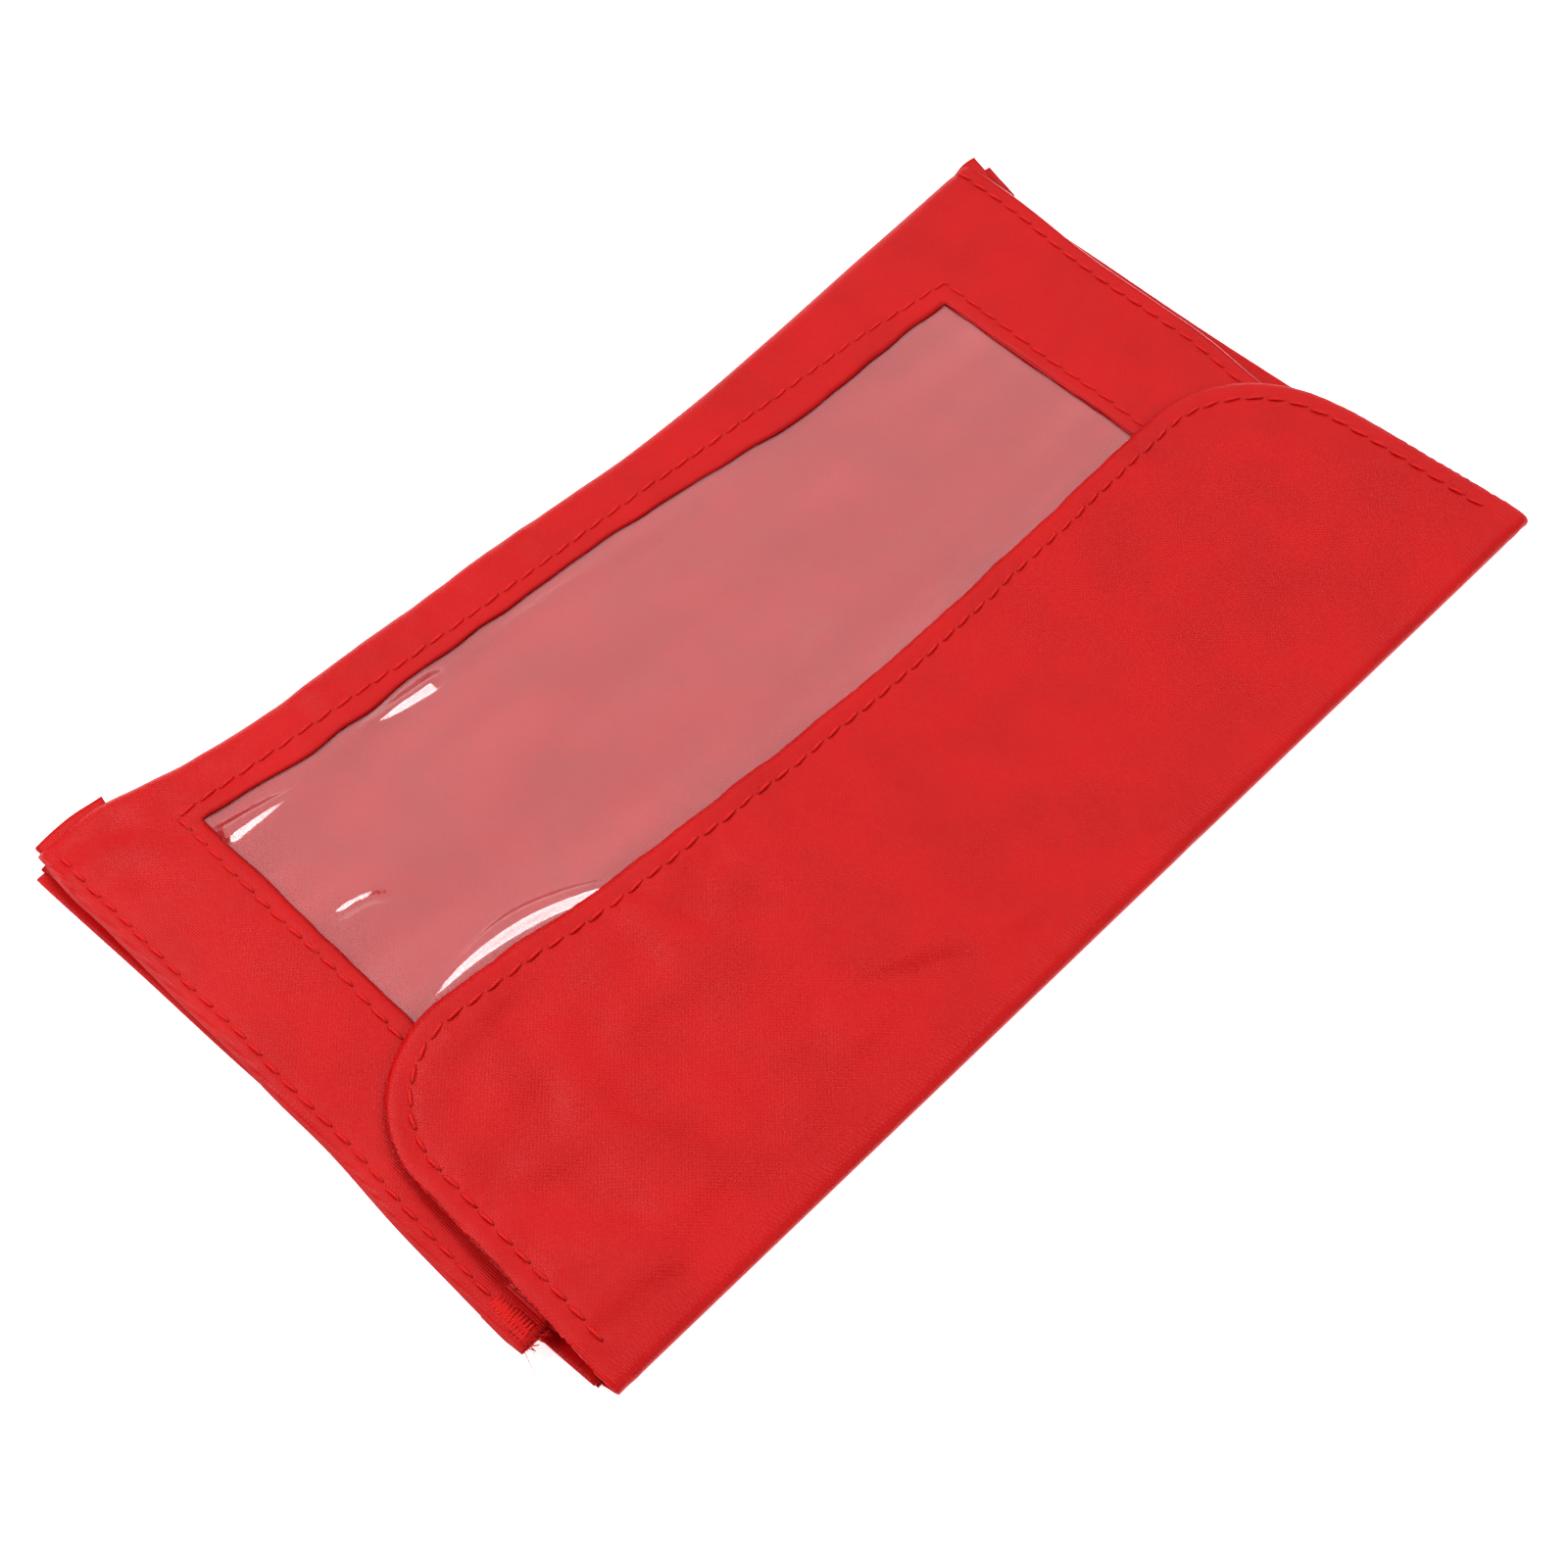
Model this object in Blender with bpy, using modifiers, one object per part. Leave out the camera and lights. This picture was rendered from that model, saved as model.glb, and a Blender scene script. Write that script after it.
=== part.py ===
"""Soft pouch of a fire blanket: a flat coated-fabric pocket with a clear window and a turn-over flap.

One strip of cloth makes the flap, the back, the closed bottom fold and the front.  Folded gussets are sewn
between the front and the back along both short sides.  The front has a window with a clear film behind it.

Frame: the pouch lies on its back.  X runs along its width, the closed bottom is at +Y, the mouth and the
flap's fold are at -Y, and +Z points out of the front.  The origin is at the centre of the footprint.
"""

import math

import bmesh
import bpy
from mathutils import Matrix, Vector

# Overall size, metres.
POUCH_WIDTH = 0.250
POUCH_DEPTH = 0.144

# Thicknesses.
FABRIC = 0.0005
LINING = 0.0004
FILM = 0.0003
TAPE = 0.0006
THREAD = 0.0002
INNER_ROOM = 0.0044

# Clearance between layers that lie on each other or meet edge to edge.
LAY = 0.0003

# Side seams and the gussets folded in between them.
SEAM_WIDTH = 0.0047
SEAM_THICKNESS = 0.0016
SEAM_ROUNDING = 0.0005
GUSSET_DEPTH = 0.010
EAR_WIDTH = 0.015
EAR_DEPTH = 0.009
EAR_THICKNESS = 0.0013

# Front panel, its mouth hem and its window, measured from the pouch's edges.
MOUTH_SETBACK = 0.018
HEM_WIDTH = 0.009
WINDOW_LEFT = 0.022
WINDOW_RIGHT = 0.037
WINDOW_BOTTOM = 0.018
WINDOW_CORNER = 0.002
FILM_OVERLAP = 0.007

# Flap.
FLAP_DEPTH = 0.068
FLAP_SIDE_INSET = 0.001
FLAP_TAPER = 0.005
FLAP_CORNER = 0.026
LINING_INSET = 0.001

# Hook and loop tape between the flap and the front.
TAPE_WIDTH = 0.016
TAPE_LENGTH = 0.120
TAPE_TO_HEM = 0.002
TAPE_TO_STITCHES = 0.002

# Rows of stitches.
STITCH_INSET = 0.0045
STITCH_WIDTH = 0.0006
SEAM_STITCH_INSET = 0.0038
BARTACK_LENGTH = 0.0025
BARTACK_WIDTH = 0.0038

ARC_STEPS = 8
FOLD_STEPS = 12

# Heights of the layers, from the resting face up.
BACK_TOP = FABRIC
FILM_BOTTOM = BACK_TOP + INNER_ROOM
FRONT_BOTTOM = FILM_BOTTOM + FILM + LAY
FRONT_TOP = FRONT_BOTTOM + FABRIC
HEM_TOP = FRONT_BOTTOM + 2 * FABRIC
LOOP_BOTTOM = FRONT_TOP + LAY
HOOK_BOTTOM = LOOP_BOTTOM + TAPE + LAY
LINING_BOTTOM = HOOK_BOTTOM + TAPE + LAY
FLAP_BOTTOM = LINING_BOTTOM + LINING + LAY
FLAP_TOP = FLAP_BOTTOM + FABRIC
SEAM_TOP = FRONT_TOP + 0.8 * FABRIC

# Lines across the pouch.
HALF_WIDTH = POUCH_WIDTH / 2
BOTTOM_Y = POUCH_DEPTH / 2
FOLD_Y = -POUCH_DEPTH / 2
PANEL_HALF = HALF_WIDTH - SEAM_WIDTH - LAY
MOUTH_Y = FOLD_Y + MOUTH_SETBACK
BOTTOM_AXIS = (BOTTOM_Y - FRONT_TOP / 2, FRONT_TOP / 2)
FLAP_AXIS = (FOLD_Y + FLAP_TOP / 2, FLAP_TOP / 2)
PANEL_END_Y = BOTTOM_AXIS[0] - LAY
EAR_Y = BOTTOM_Y - EAR_DEPTH
FLAP_EDGE_Y = FOLD_Y + FLAP_DEPTH
TAPE_LOW_Y = MOUTH_Y + HEM_WIDTH + TAPE_TO_HEM
TAPE_HIGH_Y = TAPE_LOW_Y + TAPE_WIDTH
WINDOW = (
    -HALF_WIDTH + WINDOW_LEFT,
    HALF_WIDTH - WINDOW_RIGHT,
    TAPE_HIGH_Y + TAPE_TO_STITCHES + STITCH_WIDTH + STITCH_INSET,
    BOTTOM_Y - WINDOW_BOTTOM,
)


def clear_scene():
    """Empties the scene of objects."""
    for existing in list(bpy.data.objects):
        bpy.data.objects.remove(existing, do_unlink=True)


def make_material(name, colour, roughness):
    """A Principled material with one base colour."""
    material = bpy.data.materials.new(name)
    material.use_nodes = True
    shader = material.node_tree.nodes["Principled BSDF"]
    shader.inputs["Base Color"].default_value = (*colour, 1.0)
    shader.inputs["Roughness"].default_value = roughness
    shader.inputs["Metallic"].default_value = 0.0
    return material


def hinge_empty(name, axis, collection):
    """An empty on a joint's axis, which runs along X at the (y, z) given."""
    empty = bpy.data.objects.new(name, None)
    empty.location = (0.0, axis[0], axis[1])
    collection.objects.link(empty)
    return empty


def add_object(name, data, material, collection, parent=None):
    """Links an object, gives it its material and hangs it from its hinge without moving it."""
    part = bpy.data.objects.new(name, data)
    data.materials.append(material)
    collection.objects.link(part)
    if parent is not None:
        part.parent = parent
        part.matrix_parent_inverse = Matrix.Translation(-parent.location)
    return part


def rounded_outline(corners):
    """Points of a closed outline; each corner is (x, y, radius), and a round one becomes an arc."""
    points = []
    count = len(corners)
    for index, (x, y, radius) in enumerate(corners):
        corner = Vector((x, y))
        if radius == 0:
            points.append(corner)
            continue
        before = (Vector(corners[index - 1][:2]) - corner).normalized()
        after = (Vector(corners[(index + 1) % count][:2]) - corner).normalized()
        half_angle = before.angle(after) / 2
        centre = corner + (before + after).normalized() * (radius / math.sin(half_angle))
        start = corner + before * (radius / math.tan(half_angle)) - centre
        turn = (math.pi - 2 * half_angle) * (1 if before.cross(after) < 0 else -1)
        for step in range(ARC_STEPS + 1):
            points.append(centre + Matrix.Rotation(turn * step / ARC_STEPS, 2) @ start)
    return points


def rectangle(x_low, x_high, y_low, y_high, radius=0.0):
    """Outline of a rectangle with round corners."""
    corners = ((x_low, y_low), (x_high, y_low), (x_high, y_high), (x_low, y_high))
    return rounded_outline([(x, y, radius) for x, y in corners])


def flat_piece(name, outlines, bottom, thickness, material, collection, parent=None):
    """A flat sheet cut to the first outline, with the other outlines as holes in it."""
    curve = bpy.data.curves.new(name, "CURVE")
    curve.dimensions = "2D"
    curve.fill_mode = "BOTH"
    curve.extrude = thickness / 2
    for outline in outlines:
        spline = curve.splines.new("POLY")
        spline.points.add(len(outline) - 1)
        for point, place in zip(spline.points, outline):
            point.co = (place.x, place.y, 0.0, 1.0)
        spline.use_cyclic_u = True
    part = add_object(name, curve, material, collection, parent)
    part.location = (0.0, 0.0, bottom + thickness / 2)
    return part


def block(name, low, high, material, collection, parent=None, rounding=0.0):
    """A box between two corners, with its long edges rounded."""
    mesh = bpy.data.meshes.new(name)
    low, high = Vector(low), Vector(high)
    shape = bmesh.new()
    bmesh.ops.create_cube(shape, size=1.0)
    bmesh.ops.scale(shape, vec=high - low, verts=shape.verts)
    shape.to_mesh(mesh)
    shape.free()
    part = add_object(name, mesh, material, collection, parent)
    part.location = (low + high) / 2
    if rounding:
        bevel = part.modifiers.new("rounding", "BEVEL")
        bevel.width = rounding
        bevel.segments = 2
        bevel.limit_method = "ANGLE"
    return part


def swept_sheet(name, profile, sweep, thickness, material, collection, parent=None, offset=0.0):
    """A sheet whose profile, a row of points, is drawn along the sweep and thickened."""
    mesh = bpy.data.meshes.new(name)
    shape = bmesh.new()
    row = [shape.verts.new(point) for point in profile]
    edges = [shape.edges.new(pair) for pair in zip(row, row[1:])]
    drawn = bmesh.ops.extrude_edge_only(shape, edges=edges)
    moved = [item for item in drawn["geom"] if isinstance(item, bmesh.types.BMVert)]
    bmesh.ops.translate(shape, verts=moved, vec=sweep)
    bmesh.ops.recalc_face_normals(shape, faces=shape.faces)
    shape.to_mesh(mesh)
    shape.free()
    part = add_object(name, mesh, material, collection, parent)
    solidify = part.modifiers.new("thickness", "SOLIDIFY")
    solidify.thickness = thickness
    solidify.offset = offset
    solidify.use_even_offset = True
    return part


def turned_fold(name, axis, outer_radius, side, half_length, material, collection):
    """Half a tube of cloth around an X axis, where a strip turns back over itself at its +Y or -Y side."""
    radius = outer_radius - FABRIC / 2
    profile = []
    for step in range(FOLD_STEPS + 1):
        angle = math.pi * step / FOLD_STEPS
        y = axis[0] + side * radius * math.sin(angle)
        z = axis[1] - radius * math.cos(angle)
        profile.append((-half_length, y, z))
    return swept_sheet(name, profile, (2 * half_length, 0, 0), FABRIC, material, collection)


def flap_corners(inset, root_y):
    """Corners of the flap's outline from the right end of its root round the free edge to the left."""
    root_half = HALF_WIDTH - FLAP_SIDE_INSET - inset
    edge_half = root_half - FLAP_TAPER
    radius = FLAP_CORNER - inset
    edge_y = FLAP_EDGE_Y - inset
    return [
        (root_half, root_y, 0.0),
        (edge_half, edge_y, radius),
        (-edge_half, edge_y, radius),
        (-root_half, root_y, 0.0),
    ]


def make_back(cloth, collection):
    """Back panel with its two turned side seams."""
    flat_piece(
        "back_panel",
        [rectangle(-PANEL_HALF, PANEL_HALF, FLAP_AXIS[0] + LAY, PANEL_END_Y)],
        0.0,
        FABRIC,
        cloth,
        collection,
    )
    for name, side in (("left", -1), ("right", 1)):
        edges = sorted((side * HALF_WIDTH, side * (HALF_WIDTH - SEAM_WIDTH)))
        block(
            f"{name}_back_seam",
            (edges[0], FLAP_AXIS[0] + LAY, 0.0),
            (edges[1], BOTTOM_Y, SEAM_THICKNESS),
            cloth,
            collection,
            rounding=SEAM_ROUNDING,
        )


def make_folds(cloth, collection):
    """The closed bottom fold and the fold that carries the flap."""
    ear_inner = HALF_WIDTH - EAR_WIDTH - LAY
    turned_fold("bottom_fold", BOTTOM_AXIS, FRONT_TOP / 2, 1, ear_inner, cloth, collection)
    turned_fold("flap_fold", FLAP_AXIS, FLAP_TOP / 2, -1, HALF_WIDTH, cloth, collection)


def make_gussets(cloth, collection, front_hinge):
    """The V-shaped side gussets, each as its lower and upper wing with the crease opened between them."""
    crease_z = (BACK_TOP + FRONT_BOTTOM) / 2
    outer_low = BACK_TOP + LAY + FABRIC / 2
    outer_high = FRONT_BOTTOM - LAY - FABRIC / 2
    crease_gap = (LAY + FABRIC) / 2
    length = EAR_Y - LAY - MOUTH_Y
    for name, side in (("left", -1), ("right", 1)):
        outer_x = side * (PANEL_HALF - FABRIC / 2)
        inner_x = side * (PANEL_HALF - GUSSET_DEPTH)
        lower = [(outer_x, MOUTH_Y, outer_low), (inner_x, MOUTH_Y, crease_z - crease_gap)]
        upper = [(outer_x, MOUTH_Y, outer_high), (inner_x, MOUTH_Y, crease_z + crease_gap)]
        sweep = (0, length, 0)
        swept_sheet(f"{name}_lower_gusset", lower, sweep, FABRIC, cloth, collection)
        swept_sheet(f"{name}_upper_gusset", upper, sweep, FABRIC, cloth, collection, front_hinge)


def make_front(cloth, collection, hinge):
    """Front panel with the window cut out of it, its mouth hem and its side seams."""
    x_low, x_high, y_low, y_high = WINDOW
    flat_piece(
        "front_panel",
        [
            rectangle(-PANEL_HALF, PANEL_HALF, MOUTH_Y + HEM_WIDTH + LAY, PANEL_END_Y),
            rectangle(x_low, x_high, y_low, y_high, WINDOW_CORNER),
        ],
        FRONT_BOTTOM,
        FABRIC,
        cloth,
        collection,
        hinge,
    )
    block(
        "mouth_hem",
        (-PANEL_HALF, MOUTH_Y, FRONT_BOTTOM),
        (PANEL_HALF, MOUTH_Y + HEM_WIDTH, HEM_TOP),
        cloth,
        collection,
        hinge,
    )
    for name, side in (("left", -1), ("right", 1)):
        edges = sorted((side * HALF_WIDTH, side * (HALF_WIDTH - SEAM_WIDTH)))
        block(
            f"{name}_front_seam",
            (edges[0], MOUTH_Y, SEAM_TOP - SEAM_THICKNESS),
            (edges[1], BOTTOM_AXIS[0], SEAM_TOP),
            cloth,
            collection,
            hinge,
            rounding=SEAM_ROUNDING,
        )
        ear_edges = sorted((side * HALF_WIDTH, side * (HALF_WIDTH - EAR_WIDTH)))
        ear_top = SEAM_TOP - SEAM_THICKNESS - LAY
        block(
            f"{name}_seam_ear",
            (ear_edges[0], EAR_Y, ear_top - EAR_THICKNESS),
            (ear_edges[1], BOTTOM_Y, ear_top),
            cloth,
            collection,
            hinge,
        )


def make_window(film, collection, hinge):
    """The clear film sewn behind the window."""
    x_low, x_high, y_low, y_high = WINDOW
    flat_piece(
        "window_film",
        [
            rectangle(
                x_low - FILM_OVERLAP,
                x_high + FILM_OVERLAP,
                y_low - FILM_OVERLAP,
                y_high + FILM_OVERLAP,
                WINDOW_CORNER,
            )
        ],
        FILM_BOTTOM,
        FILM,
        film,
        collection,
        hinge,
    )


def make_flap(cloth, lining, collection, hinge):
    """The flap's outer cloth and its lining."""
    root_y = FLAP_AXIS[0] + LAY
    outer = rounded_outline(flap_corners(0.0, root_y))
    flat_piece("flap_outer", [outer], FLAP_BOTTOM, FABRIC, cloth, collection, hinge)
    inner = rounded_outline(flap_corners(LINING_INSET, root_y + LINING_INSET))
    flat_piece("flap_lining", [inner], LINING_BOTTOM, LINING, lining, collection, hinge)


def make_tapes(tape, collection, front_hinge, flap_hinge):
    """Loop tape on the front under the flap, and hook tape on the flap's lining above it."""
    half = TAPE_LENGTH / 2
    for name, bottom, hinge in (
        ("loop_tape", LOOP_BOTTOM, front_hinge),
        ("hook_tape", HOOK_BOTTOM, flap_hinge),
    ):
        low = (-half, TAPE_LOW_Y, bottom)
        high = (half, TAPE_HIGH_Y, bottom + TAPE)
        block(name, low, high, tape, collection, hinge)


def make_window_stitching(thread, collection, hinge):
    """The stitch row that runs all round the window."""
    loops = []
    for inset in (STITCH_INSET + STITCH_WIDTH, STITCH_INSET):
        x_low, x_high, y_low, y_high = WINDOW
        corner = WINDOW_CORNER + inset
        loops.append(
            rectangle(x_low - inset, x_high + inset, y_low - inset, y_high + inset, corner)
        )
    row_bottom = FRONT_TOP + LAY
    flat_piece("window_stitching", loops, row_bottom, THREAD, thread, collection, hinge)


def make_flap_stitching(thread, collection, hinge):
    """The stitch row round the flap's free edge, open at the fold."""
    root_y = FLAP_AXIS[0] + LAY
    outside = rounded_outline(flap_corners(STITCH_INSET, root_y))
    inside = rounded_outline(flap_corners(STITCH_INSET + STITCH_WIDTH, root_y))
    outline = outside + inside[::-1]
    row_bottom = FLAP_TOP + LAY
    flat_piece("flap_stitching", [outline], row_bottom, THREAD, thread, collection, hinge)


def make_straight_stitching(thread, collection, hinge):
    """Stitch rows along the front's side seams and mouth hem, and the bartacks at the mouth."""
    row_bottom = SEAM_TOP + LAY
    row_start = MOUTH_Y + BARTACK_LENGTH + 3 * LAY
    for name, side in (("left", -1), ("right", 1)):
        row = sorted(
            (
                side * (HALF_WIDTH - SEAM_STITCH_INSET),
                side * (HALF_WIDTH - SEAM_STITCH_INSET + STITCH_WIDTH),
            )
        )
        block(
            f"{name}_seam_stitching",
            (row[0], row_start, row_bottom),
            (row[1], BOTTOM_AXIS[0] - SEAM_ROUNDING, row_bottom + THREAD),
            thread,
            collection,
            hinge,
        )
        centre = side * (HALF_WIDTH - SEAM_WIDTH / 2)
        block(
            f"{name}_mouth_bartack",
            (centre - BARTACK_WIDTH / 2, MOUTH_Y + LAY, row_bottom),
            (centre + BARTACK_WIDTH / 2, MOUTH_Y + LAY + BARTACK_LENGTH, row_bottom + THREAD),
            thread,
            collection,
            hinge,
        )
    hem_row = MOUTH_Y + HEM_WIDTH - STITCH_INSET / 2
    block(
        "hem_stitching",
        (-PANEL_HALF, hem_row - STITCH_WIDTH, HEM_TOP + LAY),
        (PANEL_HALF, hem_row, HEM_TOP + LAY + THREAD),
        thread,
        collection,
        hinge,
    )


def main():
    clear_scene()
    collection = bpy.data.collections.new("fire_blanket_pouch")
    bpy.context.scene.collection.children.link(collection)

    red_cloth = make_material("red_coated_cloth", (0.62, 0.015, 0.02), 0.5)
    red_lining = make_material("red_lining", (0.5, 0.012, 0.016), 0.7)
    clear_film = make_material("clear_film", (0.85, 0.85, 0.87), 0.1)
    red_tape = make_material("red_hook_and_loop", (0.4, 0.01, 0.015), 0.9)
    red_thread = make_material("red_thread", (0.7, 0.02, 0.03), 0.6)

    front_hinge = hinge_empty("front_hinge", BOTTOM_AXIS, collection)
    flap_hinge = hinge_empty("flap_hinge", FLAP_AXIS, collection)

    make_back(red_cloth, collection)
    make_folds(red_cloth, collection)
    make_gussets(red_cloth, collection, front_hinge)
    make_front(red_cloth, collection, front_hinge)
    make_window(clear_film, collection, front_hinge)
    make_flap(red_cloth, red_lining, collection, flap_hinge)
    make_tapes(red_tape, collection, front_hinge, flap_hinge)
    make_window_stitching(red_thread, collection, front_hinge)
    make_flap_stitching(red_thread, collection, flap_hinge)
    make_straight_stitching(red_thread, collection, front_hinge)


main()
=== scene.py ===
"""Visual model of an empty red fire-blanket pouch with a clear window and a tucked-over flap.

Sizes are millimetres in the row frame until a mesh is made. The pouch lies on its back: X runs along the
flap's fold, +Y is the closed bottom edge, -Y the mouth and Z points up, away from the back panel.
"""

import logging
import math
from dataclasses import dataclass, field
from enum import Enum
from typing import Optional, Sequence

import bmesh
import bpy
import numpy as np
from mathutils import Matrix


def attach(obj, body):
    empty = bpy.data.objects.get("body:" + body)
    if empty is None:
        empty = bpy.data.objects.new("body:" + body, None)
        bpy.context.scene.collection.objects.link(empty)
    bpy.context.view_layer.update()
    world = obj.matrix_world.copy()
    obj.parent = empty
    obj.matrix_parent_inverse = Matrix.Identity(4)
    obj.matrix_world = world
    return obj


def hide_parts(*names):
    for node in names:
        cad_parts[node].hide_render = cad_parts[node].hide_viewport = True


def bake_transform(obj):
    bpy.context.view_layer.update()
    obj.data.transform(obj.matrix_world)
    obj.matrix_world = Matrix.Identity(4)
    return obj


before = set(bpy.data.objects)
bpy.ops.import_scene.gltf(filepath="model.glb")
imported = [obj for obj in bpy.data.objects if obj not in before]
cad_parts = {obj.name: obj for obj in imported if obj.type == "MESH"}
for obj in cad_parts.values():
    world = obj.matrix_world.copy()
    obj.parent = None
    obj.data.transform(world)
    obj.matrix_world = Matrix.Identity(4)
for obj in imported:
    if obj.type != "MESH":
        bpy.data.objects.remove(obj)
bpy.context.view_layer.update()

MM = 0.001
PITCH = 4.45  # mm from one needle hole to the next
FOLD_ROUND = 0.06  # how far a gusset's fold is rounded, as a share of its half width squared
LOG = logging.getLogger("pouch")
Knots = Sequence[tuple[float, float]]


class Side(Enum):
    """Which side of the pouch a piece is sewn on."""

    LEFT = -1
    RIGHT = 1

    @property
    def word(self) -> str:
        """The side's name as the CAD nodes write it."""
        return self.name.lower()


class Held(Enum):
    """How a sheet of cloth is kept in its shape."""

    LAID = "laid"
    FOLDED = "folded"
    STRETCHED = "stretched"


class Mover(Enum):
    """What a piece moves with: one body, or two with the fabric turning between them, in which case it is tied to
    neither.
    """

    POUCH = "pouch"
    FRONT = "front"
    FLAP = "flap"
    FRONT_CLOTH = "front_cloth"
    FLAP_CLOTH = "flap_cloth"
    GUSSET = "gusset"

    def carry(self, piece: bpy.types.Object) -> None:
        """Ties a finished piece to its body; a piece that turns over a fold only has its place baked into its mesh.

        Args:
            piece: the finished object, with its place in its mesh.
        """
        blends = {
            Mover.FRONT_CLOTH: ("front", (0, 67, 0.5), (0, 64, 5.0)),
            Mover.GUSSET: ("front", (0, 0, 0.9), (0, 0, 4.4)),
            Mover.FLAP_CLOTH: ("flap", (0, -67.35, 0.6), (0, -67.35, 8.2)),
        }
        if self not in blends:
            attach(piece, self.value)
            return
        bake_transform(piece)


# ---------------------------------------------------------------- curves and heights


def ease(t: np.ndarray) -> np.ndarray:
    """Goes from 0 to 1 with level ends: 3t squared less 2t cubed, t held within 0 to 1."""
    t = np.clip(t, 0.0, 1.0)
    return t * t * (3.0 - 2.0 * t)


def along(at: np.ndarray, knots: Knots) -> np.ndarray:
    """Value of a smooth curve through knots: a cubic on each span, whose end slopes are the knots' mean slopes.

    Args:
        at: where the curve is read.
        knots: (position, value) pairs, positions rising or falling.

    Returns:
        The values, level past the first and last knots.
    """
    table = np.array(sorted(knots), float)
    xs, ys = table[:, 0], table[:, 1]
    slope = np.gradient(ys, xs)
    at = np.asarray(at, float)
    i = np.clip(np.searchsorted(xs, at) - 1, 0, len(xs) - 2)
    span = xs[i + 1] - xs[i]
    t = np.clip((at - xs[i]) / span, 0.0, 1.0)
    rise = ease(t)
    return ys[i] + (ys[i + 1] - ys[i]) * rise + span * (t * (1 - t) ** 2 * slope[i] - t * t * (1 - t) * slope[i + 1])


def ripples(x: np.ndarray, y: np.ndarray, seed: int, wave: float, height: float, stretch: float = 1.0) -> np.ndarray:
    """Soft uneven swell: the mean of nine sine waves in seeded directions, with lengths near wave.

    Args:
        x, y: plan positions in mm.
        seed: picks the directions and phases.
        wave: typical wave length in mm.
        height: typical height in mm.
        stretch: how many times longer the swells are along X than along Y.

    Returns:
        Heights in mm, about zero on average.
    """
    rng = np.random.default_rng(seed)
    angle, phase, size = rng.uniform(0, 2 * math.pi, (3, 9))
    turn = 2 * math.pi / (wave * (0.6 + 0.8 * size / (2 * math.pi)))
    u = np.asarray(x, float)[..., None] / stretch
    v = np.asarray(y, float)[..., None]
    return height * np.sin(turn * (u * np.cos(angle) + v * np.sin(angle)) + phase).mean(-1) * 2.1


def resampled(path: np.ndarray, step: float) -> tuple[np.ndarray, np.ndarray]:
    """A path's points at an even step along it.

    Args:
        path: (n, 2 or 3) points.
        step: spacing in mm.

    Returns:
        The new points and their distances along the path.
    """
    run = np.concatenate([[0.0], np.cumsum(np.linalg.norm(np.diff(path, axis=0), axis=1))])
    at = np.linspace(0.0, run[-1], max(3, int(round(run[-1] / step)) + 1))
    return np.stack([np.interp(at, run, path[:, k]) for k in range(path.shape[1])], axis=1), at


def near(path: np.ndarray, x: np.ndarray, y: np.ndarray) -> tuple[np.ndarray, np.ndarray]:
    """Distance from plan positions to a path, and how far along it the nearest point is.

    Args:
        path: (n, 2) points of the path in mm.
        x, y: positions in mm.

    Returns:
        Distances and positions along the path, shaped as x.
    """
    points, at = resampled(path, 0.5)
    shape = np.shape(x)
    spots = np.stack([np.ravel(x), np.ravel(y)], 1)
    gap, place = np.empty(len(spots)), np.empty(len(spots))
    for first in range(0, len(spots), 4096):
        d = np.linalg.norm(spots[first : first + 4096, None] - points[None], axis=2)
        best = d.argmin(1)
        gap[first : first + 4096] = d[np.arange(len(best)), best]
        place[first : first + 4096] = at[best]
    return gap.reshape(shape), place.reshape(shape)


def ridge(x: np.ndarray, y: np.ndarray, path: Knots, width: float, height: float, sharp: float = 2.0) -> np.ndarray:
    """A crease along a path: height by e to the minus (distance over width) to the power sharp, fading at its ends.

    Args:
        x, y: plan positions in mm.
        path: the crease line's points.
        width: distance in mm at which it has mostly died away.
        height: its height in mm, negative for a valley.
        sharp: 2 for a round crease, 1 for a sharp one.

    Returns:
        Heights in mm.
    """
    line = np.array(path, float)
    gap, place = near(line, x, y)
    total = resampled(line, 0.5)[1][-1]
    fade = ease(place / (0.35 * total)) * ease((total - place) / (0.35 * total))
    return height * fade * np.exp(-((gap / width) ** sharp))


# ---------------------------------------------------------------- meshes


def new_piece(name: str, points: np.ndarray, faces: list, uv: np.ndarray, outward: bool = False) -> bpy.types.Object:
    """Puts points and faces into a smooth-shaded object at the origin.

    Args:
        name: the piece's name.
        points: (n, 3) positions in mm.
        faces: lists of point numbers.
        uv: (n, 2) pattern positions in mm, stored in metres.
        outward: True to turn a closed shell's faces outwards.

    Returns:
        The linked object.
    """
    mesh = bpy.data.meshes.new(name)
    mesh.from_pydata((points * MM).tolist(), [], faces)
    if outward:
        shell = bmesh.new()
        shell.from_mesh(mesh)
        bmesh.ops.recalc_face_normals(shell, faces=shell.faces)
        shell.to_mesh(mesh)
        shell.free()
    corner = np.empty(len(mesh.loops), np.int32)
    mesh.loops.foreach_get("vertex_index", corner)
    layer = mesh.uv_layers.new(name="cut")
    layer.data.foreach_set("uv", (uv[corner] * MM).astype(np.float32).ravel())
    mesh.polygons.foreach_set("use_smooth", np.ones(len(mesh.polygons), bool))
    mesh.update()
    piece = bpy.data.objects.new(name, mesh)
    bpy.context.collection.objects.link(piece)
    return piece


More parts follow.
